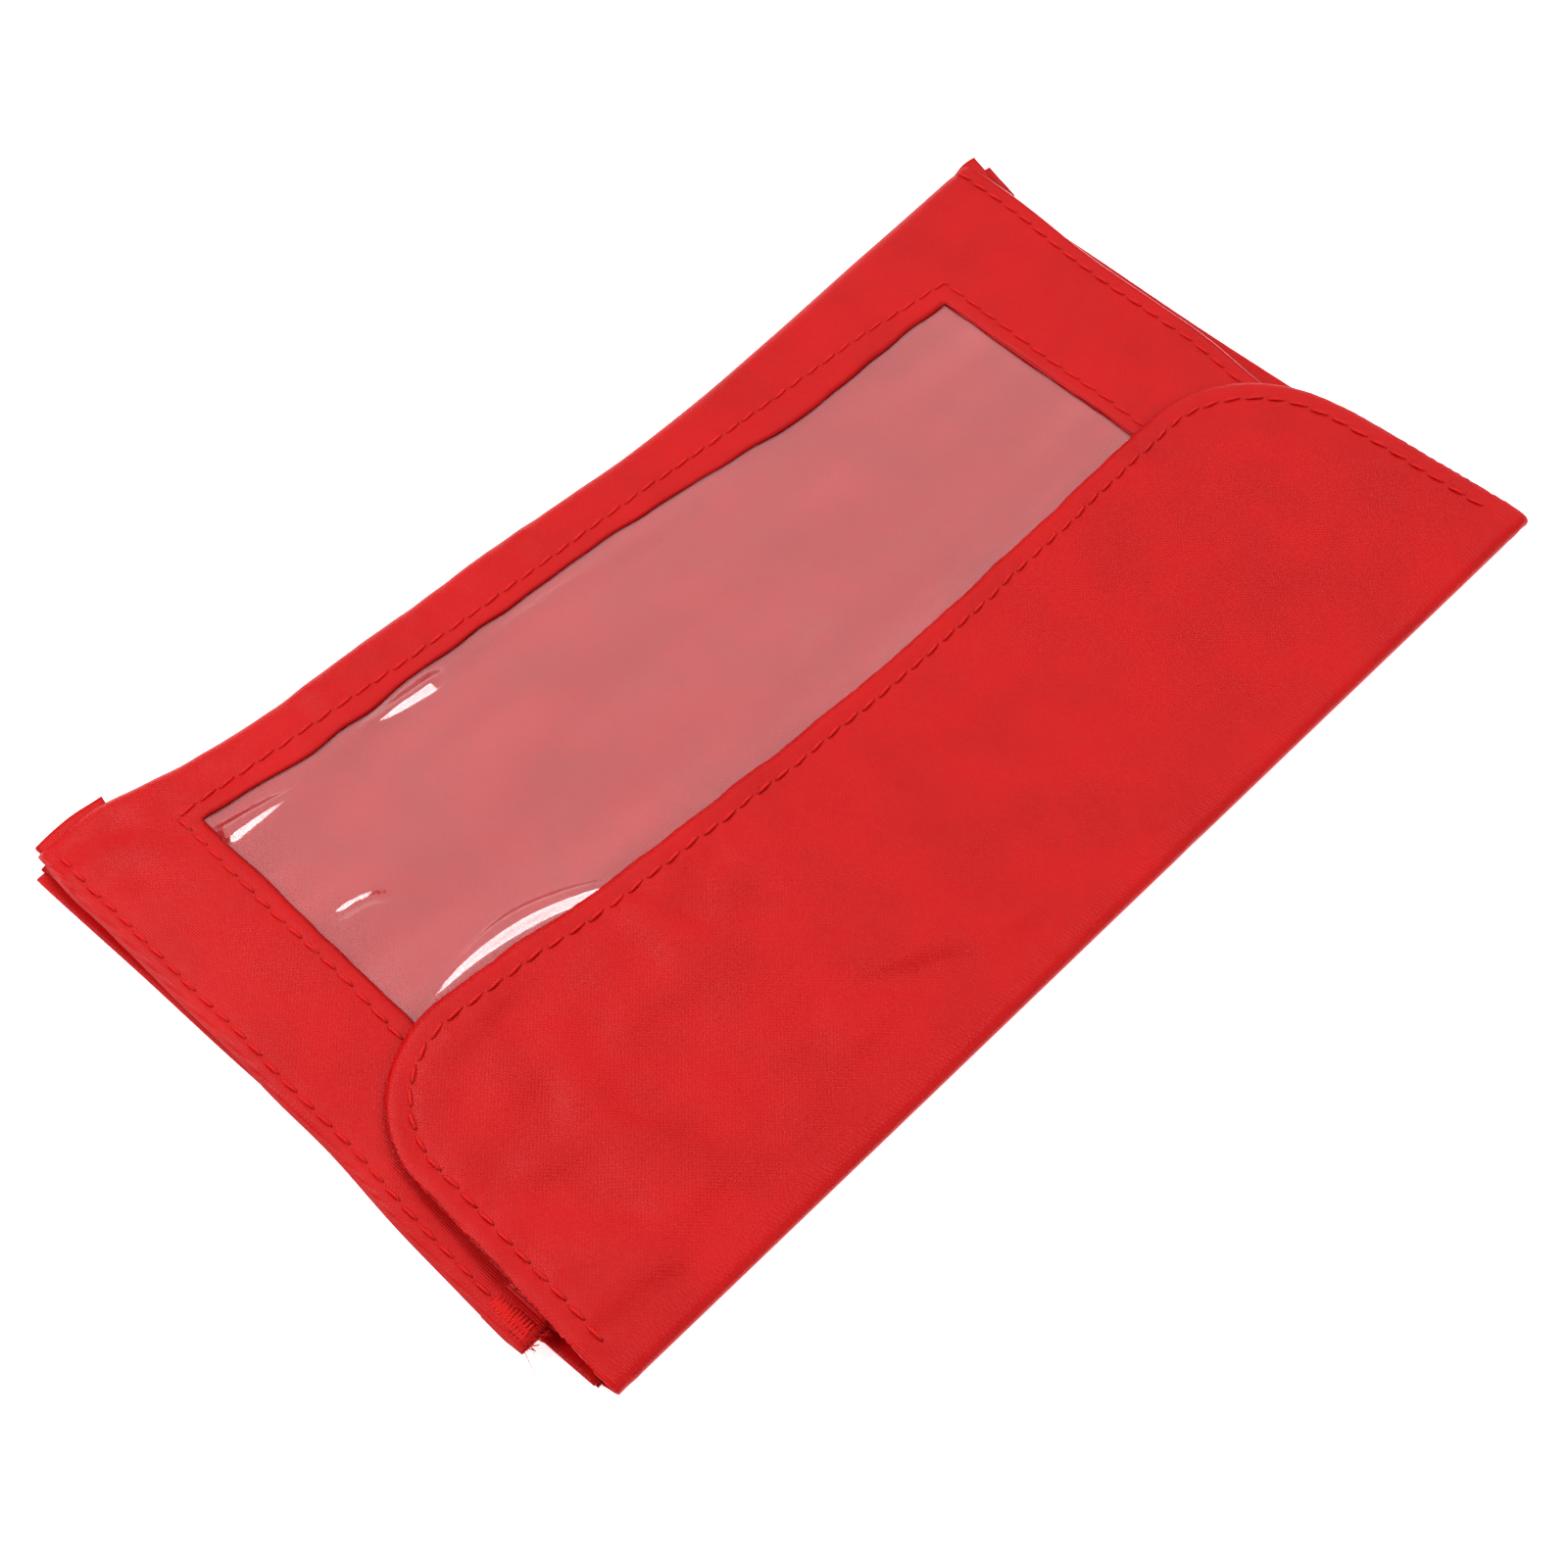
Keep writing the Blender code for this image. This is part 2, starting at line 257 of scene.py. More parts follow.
def cloth(
    name: str,
    points: np.ndarray,
    thick: float,
    uv: Optional[np.ndarray] = None,
    keep: Optional[np.ndarray] = None,
    offset: float = 0.0,
) -> bpy.types.Object:
    """A sheet from a grid of points, given its thickness by Solidify.

    Args:
        name: the piece's name.
        points: (rows, columns, 3) positions in mm, columns running +X and rows +Y for a sheet that faces up.
        thick: thickness in mm.
        uv: (rows, columns, 2) pattern positions in mm, or None for the plan positions.
        keep: (rows - 1, columns - 1) mask of the cells that are cloth, or None for all.
        offset: Solidify's offset: 0 puts the points in the middle of the thickness, -1 on its upper face.

    Returns:
        The object.
    """
    rows, cols = points.shape[:2]
    uv = points[..., :2] if uv is None else uv
    index = np.arange(rows * cols).reshape(rows, cols)
    quads = np.stack([index[:-1, :-1], index[:-1, 1:], index[1:, 1:], index[1:, :-1]], -1)
    quads = quads.reshape(-1, 4) if keep is None else quads[keep]
    used, flat = np.unique(quads, return_inverse=True)
    piece = new_piece(name, points.reshape(-1, 3)[used], flat.reshape(-1, 4).tolist(), uv.reshape(-1, 2)[used])
    solid = piece.modifiers.new("thickness", "SOLIDIFY")
    solid.thickness, solid.offset = thick * MM, offset
    return piece


def rounded(width: float, height: float, count: int) -> np.ndarray:
    """A closed profile between an ellipse and a rectangle: cosine and sine raised to the powers 0.55 and 0.75."""
    turn = np.linspace(0, 2 * math.pi, count, endpoint=False) + 0.1
    c, s = np.cos(turn), np.sin(turn)
    return np.stack([width / 2 * np.sign(c) * np.abs(c) ** 0.55, height / 2 * np.sign(s) * np.abs(s) ** 0.75], 1)


def tubes(name: str, rings: np.ndarray, uv: Optional[np.ndarray] = None) -> bpy.types.Object:
    """Closed tubes through rings of points, each with a flat cap at both ends.

    Args:
        name: the piece's name.
        rings: (tubes, rings, sides, 3) positions in mm.
        uv: (tubes, rings, sides, 2) pattern positions in mm, or None for distance by side.

    Returns:
        One object with all the tubes.
    """
    many, count, sides = rings.shape[:3]
    index = np.arange(many * count * sides).reshape(many, count, sides)
    after = np.roll(index, -1, axis=2)
    walls = np.stack([index[:, :-1], after[:, :-1], after[:, 1:], index[:, 1:]], -1).reshape(-1, 4)
    caps = index[:, 0, ::-1].tolist() + index[:, -1].tolist()
    if uv is None:
        step = np.linalg.norm(np.diff(rings[:, :, 0], axis=1), axis=-1)
        run = np.concatenate([np.zeros((many, 1)), np.cumsum(step, 1)], 1)
        turn = np.abs(np.linspace(-1, 1, sides, endpoint=False))
        uv = np.stack(np.broadcast_arrays(run[..., None], turn[None, None]), -1)
    return new_piece(name, rings.reshape(-1, 3), walls.tolist() + caps, uv.reshape(-1, 2), outward=True)


def swept(
    name: str, path: np.ndarray, profile: np.ndarray, across: Sequence[float], puff: float = 0.0
) -> bpy.types.Object:
    """A closed strip: each point is at path, plus across times the profile's first value, plus up times its second.

    Args:
        name: the piece's name.
        path: (n, 3) centre line in mm.
        profile: (sides, 2) closed outline in mm.
        across: the profile's sideways direction.
        puff: how much the strip swells between stitches, as a share of its height.

    Returns:
        The object.
    """
    path, at = resampled(path, 1.2)
    swell = 1.0 + puff * np.sin(2 * math.pi * at / PITCH)
    ends = np.minimum(1.0, 0.72 + 0.28 * np.minimum(at, at[-1] - at) / 1.2)
    lift = profile[None, :, 1] * (swell * ends)[:, None]
    rings = path[:, None] + profile[None, :, :1] * np.array(across, float) + lift[..., None] * np.array([0, 0, 1.0])
    return tubes(name, rings[None])


@dataclass(frozen=True)
class Stitch:
    """One lockstitch: a short length of thread that dives into the cloth at both ends."""

    pitch: float = PITCH
    gap: float = 0.35
    width: float = 0.66
    rise: float = 0.42
    dive: float = 0.30
    skew: float = 0.22

    def row(self, name: str, path: np.ndarray, up: float = 1.0, seed: int = 3) -> bpy.types.Object:
        """A row of stitches on a path.

        Each stitch is a tube of seven rings of six sides. Its height over the cloth is rise times the root of the
        sine of its length share, less dive, its radius swells the same way, and it lies a little askew.

        Args:
            name: the piece's name.
            path: (n, 3) points on the cloth's surface in mm.
            up: 1 for thread on top of the cloth, -1 underneath.
            seed: picks the small irregularities.

        Returns:
            One object with the whole row.
        """
        points, at = resampled(path, 0.4)
        many = max(2, int(at[-1] // self.pitch))
        rng = np.random.default_rng(seed)
        share = np.linspace(0, 1, 7)
        start = np.arange(many)[:, None] * self.pitch + self.gap / 2 + rng.uniform(-0.15, 0.15, (many, 1))
        where = start + share * (self.pitch - self.gap)
        centre = np.stack([np.interp(where, at, points[:, k]) for k in range(3)], -1)
        spots = [np.stack([np.interp(where + step, at, points[:, k]) for k in range(3)], -1) for step in (0.3, -0.3)]
        ahead = spots[0] - spots[1]
        side = np.stack([-ahead[..., 1], ahead[..., 0], np.zeros_like(ahead[..., 0])], -1)
        side /= np.linalg.norm(side, axis=-1, keepdims=True) + 1e-9
        bow = np.sin(math.pi * share) ** 0.5
        lean = (share - 0.5) * 2 * self.skew + rng.uniform(-0.07, 0.07, (many, 1))
        centre = centre + side * lean[..., None]
        centre[..., 2] += up * (self.rise * bow - self.dive + rng.uniform(-0.03, 0.03, (many, 1)))
        turn = np.linspace(0, 2 * math.pi, 6, endpoint=False)
        radius = self.width / 2 * (0.5 + 0.5 * bow)
        rings = centre[:, :, None] + side[:, :, None] * (np.cos(turn) * radius[:, None])[None, ..., None]
        rings[..., 2] += 0.75 * (np.sin(turn) * radius[:, None])[None]
        uv = np.stack(np.broadcast_arrays(where[..., None], np.abs(turn / math.pi - 1)[None, None]), -1)
        piece = tubes(name, rings, uv)
        # mask for painted shade in the needle holes: 1 where the thread dives into the cloth at a stitch's ends
        hole_shade = piece.data.attributes.new("hole_shade", "FLOAT", "POINT")
        low = np.broadcast_to(((1 - bow) ** 1.5)[None, :, None], rings.shape[:3])
        hole_shade.data.foreach_set("value", low.astype(np.float32).ravel())
        return piece


def fibres(
    name: str, roots: np.ndarray, aims: np.ndarray, length: tuple[float, float], radius: float, seed: int
) -> bpy.types.Object:
    """Loose thread ends: thin tubes of six rings of four sides that bend as the square of their length share.

    Args:
        name: the piece's name.
        roots: (n, 3) starts in mm.
        aims: (n, 3) directions.
        length: shortest and longest in mm.
        radius: in mm.
        seed: picks lengths and bends.

    Returns:
        One object with all the thread ends.
    """
    rng = np.random.default_rng(seed)
    many = len(roots)
    share = np.linspace(0, 1, 6)[None, :, None]
    reach = rng.uniform(*length, (many, 1, 1))
    bend = rng.normal(0, 0.45, (many, 1, 3)) * [1, 1, 0.5]
    centre = roots[:, None] + reach * (aims[:, None] * share + bend * share**2)
    turn = np.linspace(0, 2 * math.pi, 4, endpoint=False)
    ring = np.stack([np.cos(turn), 0 * turn, np.sin(turn)], -1) + np.stack([0 * turn, np.cos(turn), 0 * turn], -1)
    thin = radius * (1 - 0.5 * share[..., None])
    rings = centre[:, :, None] + thin * ring[None, None]
    rings[..., 2] = np.maximum(rings[..., 2], 0.05)
    return tubes(name, rings)


# ---------------------------------------------------------------- materials


def linear(code: str) -> tuple[float, float, float, float]:
    """An sRGB hex code such as 'CC1014' as a linear colour."""
    raw = [int(code[k : k + 2], 16) / 255 for k in (0, 2, 4)]
    r, g, b = (c / 12.92 if c <= 0.04045 else ((c + 0.055) / 1.055) ** 2.4 for c in raw)
    return r, g, b, 1.0


def node(tree: bpy.types.NodeTree, kind: str, links: Optional[dict] = None, **settings: object) -> bpy.types.Node:
    """Adds a node, sets it up and links its inputs.

    Args:
        tree: the material's node tree.
        kind: the node's type name without its ShaderNode prefix.
        links: input name or number to a value or to another node's output socket.
        settings: the node's own properties.

    Returns:
        The node.
    """
    made = tree.nodes.new("ShaderNode" + kind)
    for key, value in settings.items():
        setattr(made, key, value)
    for key, value in (links or {}).items():
        if isinstance(value, bpy.types.NodeSocket):
            tree.links.new(value, made.inputs[key])
        else:
            made.inputs[key].default_value = value
    return made


def blank(name: str) -> tuple[bpy.types.Material, bpy.types.NodeTree]:
    """An empty node material and its tree."""
    made = bpy.data.materials.new(name)
    made.use_nodes = True
    made.node_tree.nodes.clear()
    return made, made.node_tree


@dataclass(frozen=True)
class CoatedCloth:
    """Polyurethane-coated polyester twill: an even strong red, with fine slanted ribs and a soft satin sheen."""

    name: str = "coated_polyester_twill"
    slot: str = "red_coated_cloth"
    dark: str = "BC0406"
    light: str = "D00809"
    rib: float = 0.58  # mm between ribs
    yarn: float = 0.42  # mm between the yarns that cross the ribs
    roughness: float = 0.38
    relief: float = 0.05  # mm
    specular: float = 0.19

    def material(self) -> bpy.types.Material:
        """Ribs on the diagonal of the cut, broken up by finer yarns, with cloudy colour and roughness."""
        made, tree = blank(self.name)
        cut = node(tree, "UVMap", uv_map="cut").outputs["UV"]
        # a diagonal wave of scale s repeats every 0.444 / s metres, a straight one every 0.314 / s
        rib = node(
            tree,
            "TexWave",
            {"Vector": cut, "Scale": 0.444 / (self.rib * MM), "Distortion": 0.6, "Detail": 1.0, "Detail Scale": 0.6},
            bands_direction="DIAGONAL",
        ).outputs["Fac"]
        straight = {"Vector": cut, "Scale": 0.314 / (self.yarn * MM), "Distortion": 0.3}
        yarn = node(tree, "TexWave", straight, bands_direction="X").outputs["Fac"]
        weave = node(tree, "Math", {0: rib, 1: yarn, 2: yarn}, operation="MULTIPLY_ADD").outputs[0]
        cloud = node(tree, "TexNoise", {"Vector": cut, "Scale": 55.0, "Detail": 3.0, "Roughness": 0.55}).outputs["Fac"]
        crinkle = node(tree, "TexNoise", {"Vector": cut, "Scale": 320.0, "Detail": 4.0, "Roughness": 0.6})
        shade = node(tree, "Math", {0: weave, 1: 0.16, 2: cloud}, operation="MULTIPLY_ADD")
        tint = node(tree, "MapRange", {"Value": shade.outputs[0], "From Min": 0.35, "From Max": 0.95})
        ends = {"Factor": tint.outputs[0], 6: linear(self.dark), 7: linear(self.light)}
        colour = node(tree, "Mix", ends, data_type="RGBA")
        gloss = node(
            tree,
            "MapRange",
            {
                "Value": cloud,
                "From Min": 0.3,
                "From Max": 0.7,
                "To Min": self.roughness - 0.04,
                "To Max": self.roughness + 0.06,
            },
        )
        soft = node(tree, "Bump", {"Height": crinkle.outputs["Fac"], "Strength": 0.5, "Distance": 0.2 * MM})
        ribbed = {"Height": weave, "Strength": 0.7, "Distance": self.relief * MM, "Normal": soft.outputs["Normal"]}
        skin = {
            "Base Color": colour.outputs[2],
            "Roughness": gloss.outputs[0],
            "Normal": node(tree, "Bump", ribbed).outputs["Normal"],
            "Specular IOR Level": self.specular,
        }
        node(tree, "OutputMaterial", {"Surface": node(tree, "BsdfPrincipled", skin).outputs[0]})
        return made


@dataclass(frozen=True)
class ClearFilm:
    """Plasticised PVC film: clear and glossy, with faint drawn streaks of haze and small bubbles."""

    name: str = "clear_pvc_film"
    slot: str = "clear_film"
    hazy: str = "DCDCE2"
    clean: str = "FFFBFF"
    passed: str = "F8F3F3"  # colour of the light that lamps send through it
    ior: float = 1.53
    roughness: float = 0.05

    def material(self) -> bpy.types.Material:
        """Clear glassy film that lamps shine through, with a slight ripple from rolling."""
        made, tree = blank(self.name)
        cut = node(tree, "UVMap", uv_map="cut").outputs["UV"]
        drawn = node(tree, "Mapping", {"Vector": cut, "Scale": (14.0, 90.0, 1.0)})
        streak = node(tree, "TexNoise", {"Vector": drawn.outputs[0], "Scale": 1.0, "Detail": 3.0, "Distortion": 0.6})
        streak = streak.outputs["Fac"]
        pits = node(tree, "TexVoronoi", {"Vector": cut, "Scale": 260.0}, feature="F1")
        pit = node(tree, "MapRange", {"Value": pits.outputs["Distance"], "From Max": 0.12})
        polish = {"From Min": 0.35, "From Max": 0.7, "To Min": self.roughness, "To Max": self.roughness + 0.10}
        gloss = node(tree, "MapRange", {"Value": streak, **polish})
        wave = node(tree, "Bump", {"Height": streak, "Strength": 0.25, "Distance": 0.10 * MM}).outputs["Normal"]
        dent = node(tree, "Bump", {"Height": pit.outputs[0], "Strength": 0.25, "Distance": 0.03 * MM, "Normal": wave})
        haze = node(tree, "Mix", {"Factor": streak, 6: linear(self.hazy), 7: linear(self.clean)}, data_type="RGBA")
        film = {
            "Base Color": haze.outputs[2],
            "Roughness": gloss.outputs[0],
            "IOR": self.ior,
            "Transmission Weight": 1.0,
            "Normal": dent.outputs["Normal"],
        }
        film = node(tree, "BsdfPrincipled", film)
        path = node(tree, "LightPath")
        rays = {0: path.outputs["Is Shadow Ray"], 1: path.outputs["Is Diffuse Ray"]}
        lamps = node(tree, "Math", rays, operation="MAXIMUM").outputs[0]
        clear = node(tree, "BsdfTransparent", {"Color": linear(self.passed)})
        mixed = node(tree, "MixShader", {0: lamps, 1: film.outputs[0], 2: clear.outputs[0]})
        node(tree, "OutputMaterial", {"Surface": mixed.outputs[0]})
        return made


@dataclass(frozen=True)
class SewingThread:
    """Twisted polyester sewing thread: a little brighter than the cloth, with slanted plies that catch the light."""

    name: str = "polyester_sewing_thread"
    slot: str = "red_thread"
    dark: str = "C20A0C"
    light: str = "F42019"
    # painted shade: the colour the thread is darkened to where it goes down its needle hole
    hole: str = "6E0406"
    ply: float = 0.55  # mm between plies

    def material(self) -> bpy.types.Material:
        """Slanted bands along the thread for its plies, with painted shade where the thread goes down its needle hole.
        """
        made, tree = blank(self.name)
        cut = node(tree, "UVMap", uv_map="cut").outputs["UV"]
        hole_shade = node(tree, "Attribute", attribute_name="hole_shade").outputs["Fac"]
        plies = {"Vector": cut, "Scale": 0.628 / (self.ply * MM), "Distortion": 0.8}
        lay = node(tree, "TexWave", plies, bands_direction="DIAGONAL").outputs["Fac"]
        colour = node(tree, "Mix", {"Factor": lay, 6: linear(self.dark), 7: linear(self.light)}, data_type="RGBA")
        # painted shade in the needle holes, mixed in by the hole_shade mask
        hole = node(tree, "Mix", {"Factor": hole_shade, 6: colour.outputs[2], 7: linear(self.hole)}, data_type="RGBA")
        bump = node(tree, "Bump", {"Height": lay, "Strength": 0.6, "Distance": 0.08 * MM}).outputs["Normal"]
        skin = {"Base Color": hole.outputs[2], "Roughness": 0.65, "Normal": bump, "Specular IOR Level": 0.22}
        node(tree, "OutputMaterial", {"Surface": node(tree, "BsdfPrincipled", skin).outputs[0]})
        return made


@dataclass(frozen=True)
class TapePile:
    """Woven nylon fastening tape: matt darker red, fibrous."""

    name: str = "nylon_hook_and_loop"
    slot: str = "red_hook_and_loop"
    dark: str = "7A0507"
    light: str = "B40A0D"

    def material(self) -> bpy.types.Material:
        """Fine fibre noise in colour and relief, in object space."""
        made, tree = blank(self.name)
        place = node(tree, "TexCoord").outputs["Object"]
        fibre = node(tree, "TexNoise", {"Vector": place, "Scale": 1800.0, "Detail": 3.0}).outputs["Fac"]
        colour = node(tree, "Mix", {"Factor": fibre, 6: linear(self.dark), 7: linear(self.light)}, data_type="RGBA")
        bump = node(tree, "Bump", {"Height": fibre, "Strength": 0.5, "Distance": 0.2 * MM}).outputs["Normal"]
        skin = {"Base Color": colour.outputs[2], "Roughness": 0.85, "Normal": bump, "Specular IOR Level": 0.15}
        node(tree, "OutputMaterial", {"Surface": node(tree, "BsdfPrincipled", skin).outputs[0]})
        return made


@dataclass(frozen=True)
class StudioPaper:
    """Matt white background paper, lit until it is plain white."""

    name: str = "white_paper"
    dark: str = "F4F4F4"
    light: str = "FAFAFA"
    glow: float = 0.75

    def material(self) -> bpy.types.Material:
        """Nearly white paper with the faintest mottling."""
        made, tree = blank(self.name)
        place = node(tree, "TexCoord").outputs["Object"]
        fibre = node(tree, "TexNoise", {"Vector": place, "Scale": 40.0, "Detail": 2.0}).outputs["Fac"]
        colour = node(tree, "Mix", {"Factor": fibre, 6: linear(self.dark), 7: linear(self.light)}, data_type="RGBA")
        glow = {"Emission Color": (1, 1, 1, 1), "Emission Strength": self.glow}
        skin = node(tree, "BsdfPrincipled", {"Base Color": colour.outputs[2], "Roughness": 0.9, **glow})
        node(tree, "OutputMaterial", {"Surface": skin.outputs[0]})
        return made


@dataclass
class Wardrobe:
    """The finishes, each made once."""

    made: dict = field(default_factory=dict)

    def dress(self, piece: bpy.types.Object, finish: object) -> None:
        """Gives a piece its finish.

        Args:
            piece: the object.
            finish: one of the finish dataclasses above.
        """
        if finish.name not in self.made:
            self.made[finish.name] = finish.material()
        piece.data.materials.clear()
        piece.data.materials.append(self.made[finish.name])
        hasattr(finish, "slot")


TWILL = CoatedCloth()
LINING = CoatedCloth("matt_polyester_lining", "red_lining", "A50A0D", "B80E12", roughness=0.62, specular=0.3)
FILM, THREAD, PILE, PAPER = ClearFilm(), SewingThread(), TapePile(), StudioPaper()
WARDROBE = Wardrobe()


def settle(piece: bpy.types.Object, finish: object, mover: Mover, *nodes: str) -> bpy.types.Object:
    """Dresses a piece, ties it to what carries it, and lets it stand for CAD nodes.

    Args:
        piece: the finished object.
        finish: its finish.
        mover: what it moves with.
        nodes: names of the CAD nodes that it replaces.

    Returns:
        The same object.
    """
    WARDROBE.dress(piece, finish)
    mover.carry(piece)
    if nodes:
        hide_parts(*nodes)
    LOG.info("%s: %d faces, moves with %s", piece.name, len(piece.data.polygons), mover.value)
    return piece


# ---------------------------------------------------------------- the pouch as it lies


@dataclass
class Lie:
    """How the pouch lies: the plan lines of its edges and the heights of its cloth, in mm."""

    cloth: float = 0.5
    mouth: float = -54.5
    seam_inset: tuple[float, float] = (2.9, 3.9)
    edge_left: Knots = (
        (74, -120.6), (70, -122.2), (66, -123.0), (62, -123.5), (54, -123.8), (44, -124.4), (30, -125.3),
        (17, -125.9), (7, -126.6), (-9, -127.0), (-25, -128.6), (-37, -129.2), (-49, -129.7), (-57, -129.6),
    )  # fmt: skip
    edge_right: Knots = (
        (72, 124.6), (66, 124.3), (59, 123.8), (38, 121.3), (15, 120.0), (1, 119.8), (-13, 118.2), (-57, 118.8),
    )  # fmt: skip
    bottom: Knots = (
        (-124, 73.0), (-112, 73.3), (-103, 71.4), (-88, 68.6), (-56, 67.1), (-19, 66.2),
        (18, 64.2), (51, 65.2), (90, 68), (112, 69.6), (125, 70.4),
    )  # fmt: skip
    cut_left: Knots = ((57, -97.4), (49, -98.2), (40, -98.4), (26, -99.6), (13, -100.2), (2, -100.5), (-20, -101.4))
    cut_right: Knots = ((46, 89.6), (28, 88.9), (15, 88.7), (-20, 88.5))
    cut_bottom: Knots = (
        (-98, 57), (-79, 54.8), (-51, 54.2), (-17, 52.7), (23, 49.2), (42, 46.4), (65, 46.4), (90, 46.2),
    )  # fmt: skip
    cut_mouth: float = -19.9
    height_left: Knots = (
        (-57, 4.9), (-40, 5.6), (-20, 6.4), (0, 7.2), (20, 7.6), (40, 7.0), (55, 6.0), (62, 5.4), (70, 4.9),
    )  # fmt: skip
    height_right: Knots = ((-57, 5.6), (-20, 6.2), (10, 6.6), (40, 6.0), (60, 4.9), (70, 4.0))
    height_middle: Knots = ((-57, 6.0), (0, 6.2), (25, 6.0), (48, 5.1), (60, 4.6), (68, 4.4))

    def front_z(self, x: np.ndarray, y: np.ndarray, fine: float = 1.0) -> np.ndarray:
        """Height of the front cloth's middle: the middle's height eased into each side's, plus soft swells.

        Args:
            x, y: plan positions in mm.
            fine: share of the shorter swells.

        Returns:
            Heights in mm.
        """
        middle, left, right = (along(y, k) for k in (self.height_middle, self.height_left, self.height_right))
        z = middle + (left - middle) * ease((-x - 62) / 60) + (right - middle) * ease((x - 70) / 50)
        calm = ease((y + 60) / 50) * 0.7 + 0.3
        z = z + ease((-x - 92) / 12) * ease((y - 46) / 12) * ripples(x, y, 15, 9, 0.30)
        z = z + ease((y - 52) / 12) * ease((40 - x) / 60) * ripples(x, y, 14, 15, 0.30, 0.7)
        return z - 0.25 + calm * (ripples(x, y, 5, 46, 0.32, 1.5) + fine * ripples(x, y, 9, 17, 0.12, 1.4))

    def edge(self, side: Side, y: np.ndarray, inset: float = 0.0) -> np.ndarray:
        """X of the front's sewn edge on a side, moved inwards by inset."""
        return along(y, self.edge_left) + inset if side is Side.LEFT else along(y, self.edge_right) - inset

    def seam_path(self, side: Side, low: float = -53.0, high: float = 69.5) -> np.ndarray:
        """The front seam's stitch line as (n, 3) points on the cloth's top."""
        y = np.linspace(high, low, 130)
        x = self.edge(side, y, self.seam_inset[0 if side is Side.LEFT else 1])
        return np.stack([x, y, self.front_z(x, y) + 0.2], 1)

    def window_path(self) -> np.ndarray:
        """The window's stitch line as (n, 2) points, once round from the mouth side's left end."""
        corners = [
            (-105.2, -24), (-104.6, -2.4), (-103.6, 9), (-102.3, 37.5), (-100.3, 60.5), (-75.3, 59.3), (-28.4, 56.6),
            (9.7, 55.2), (49.4, 53.1), (71.9, 52.2), (93.6, 49.8), (92.2, 25), (91.6, -3), (91.8, -24.2), (-105.2, -24),
        ]  # fmt: skip
        return resampled(np.array(corners, float), 1.0)[0]


LIE = Lie()


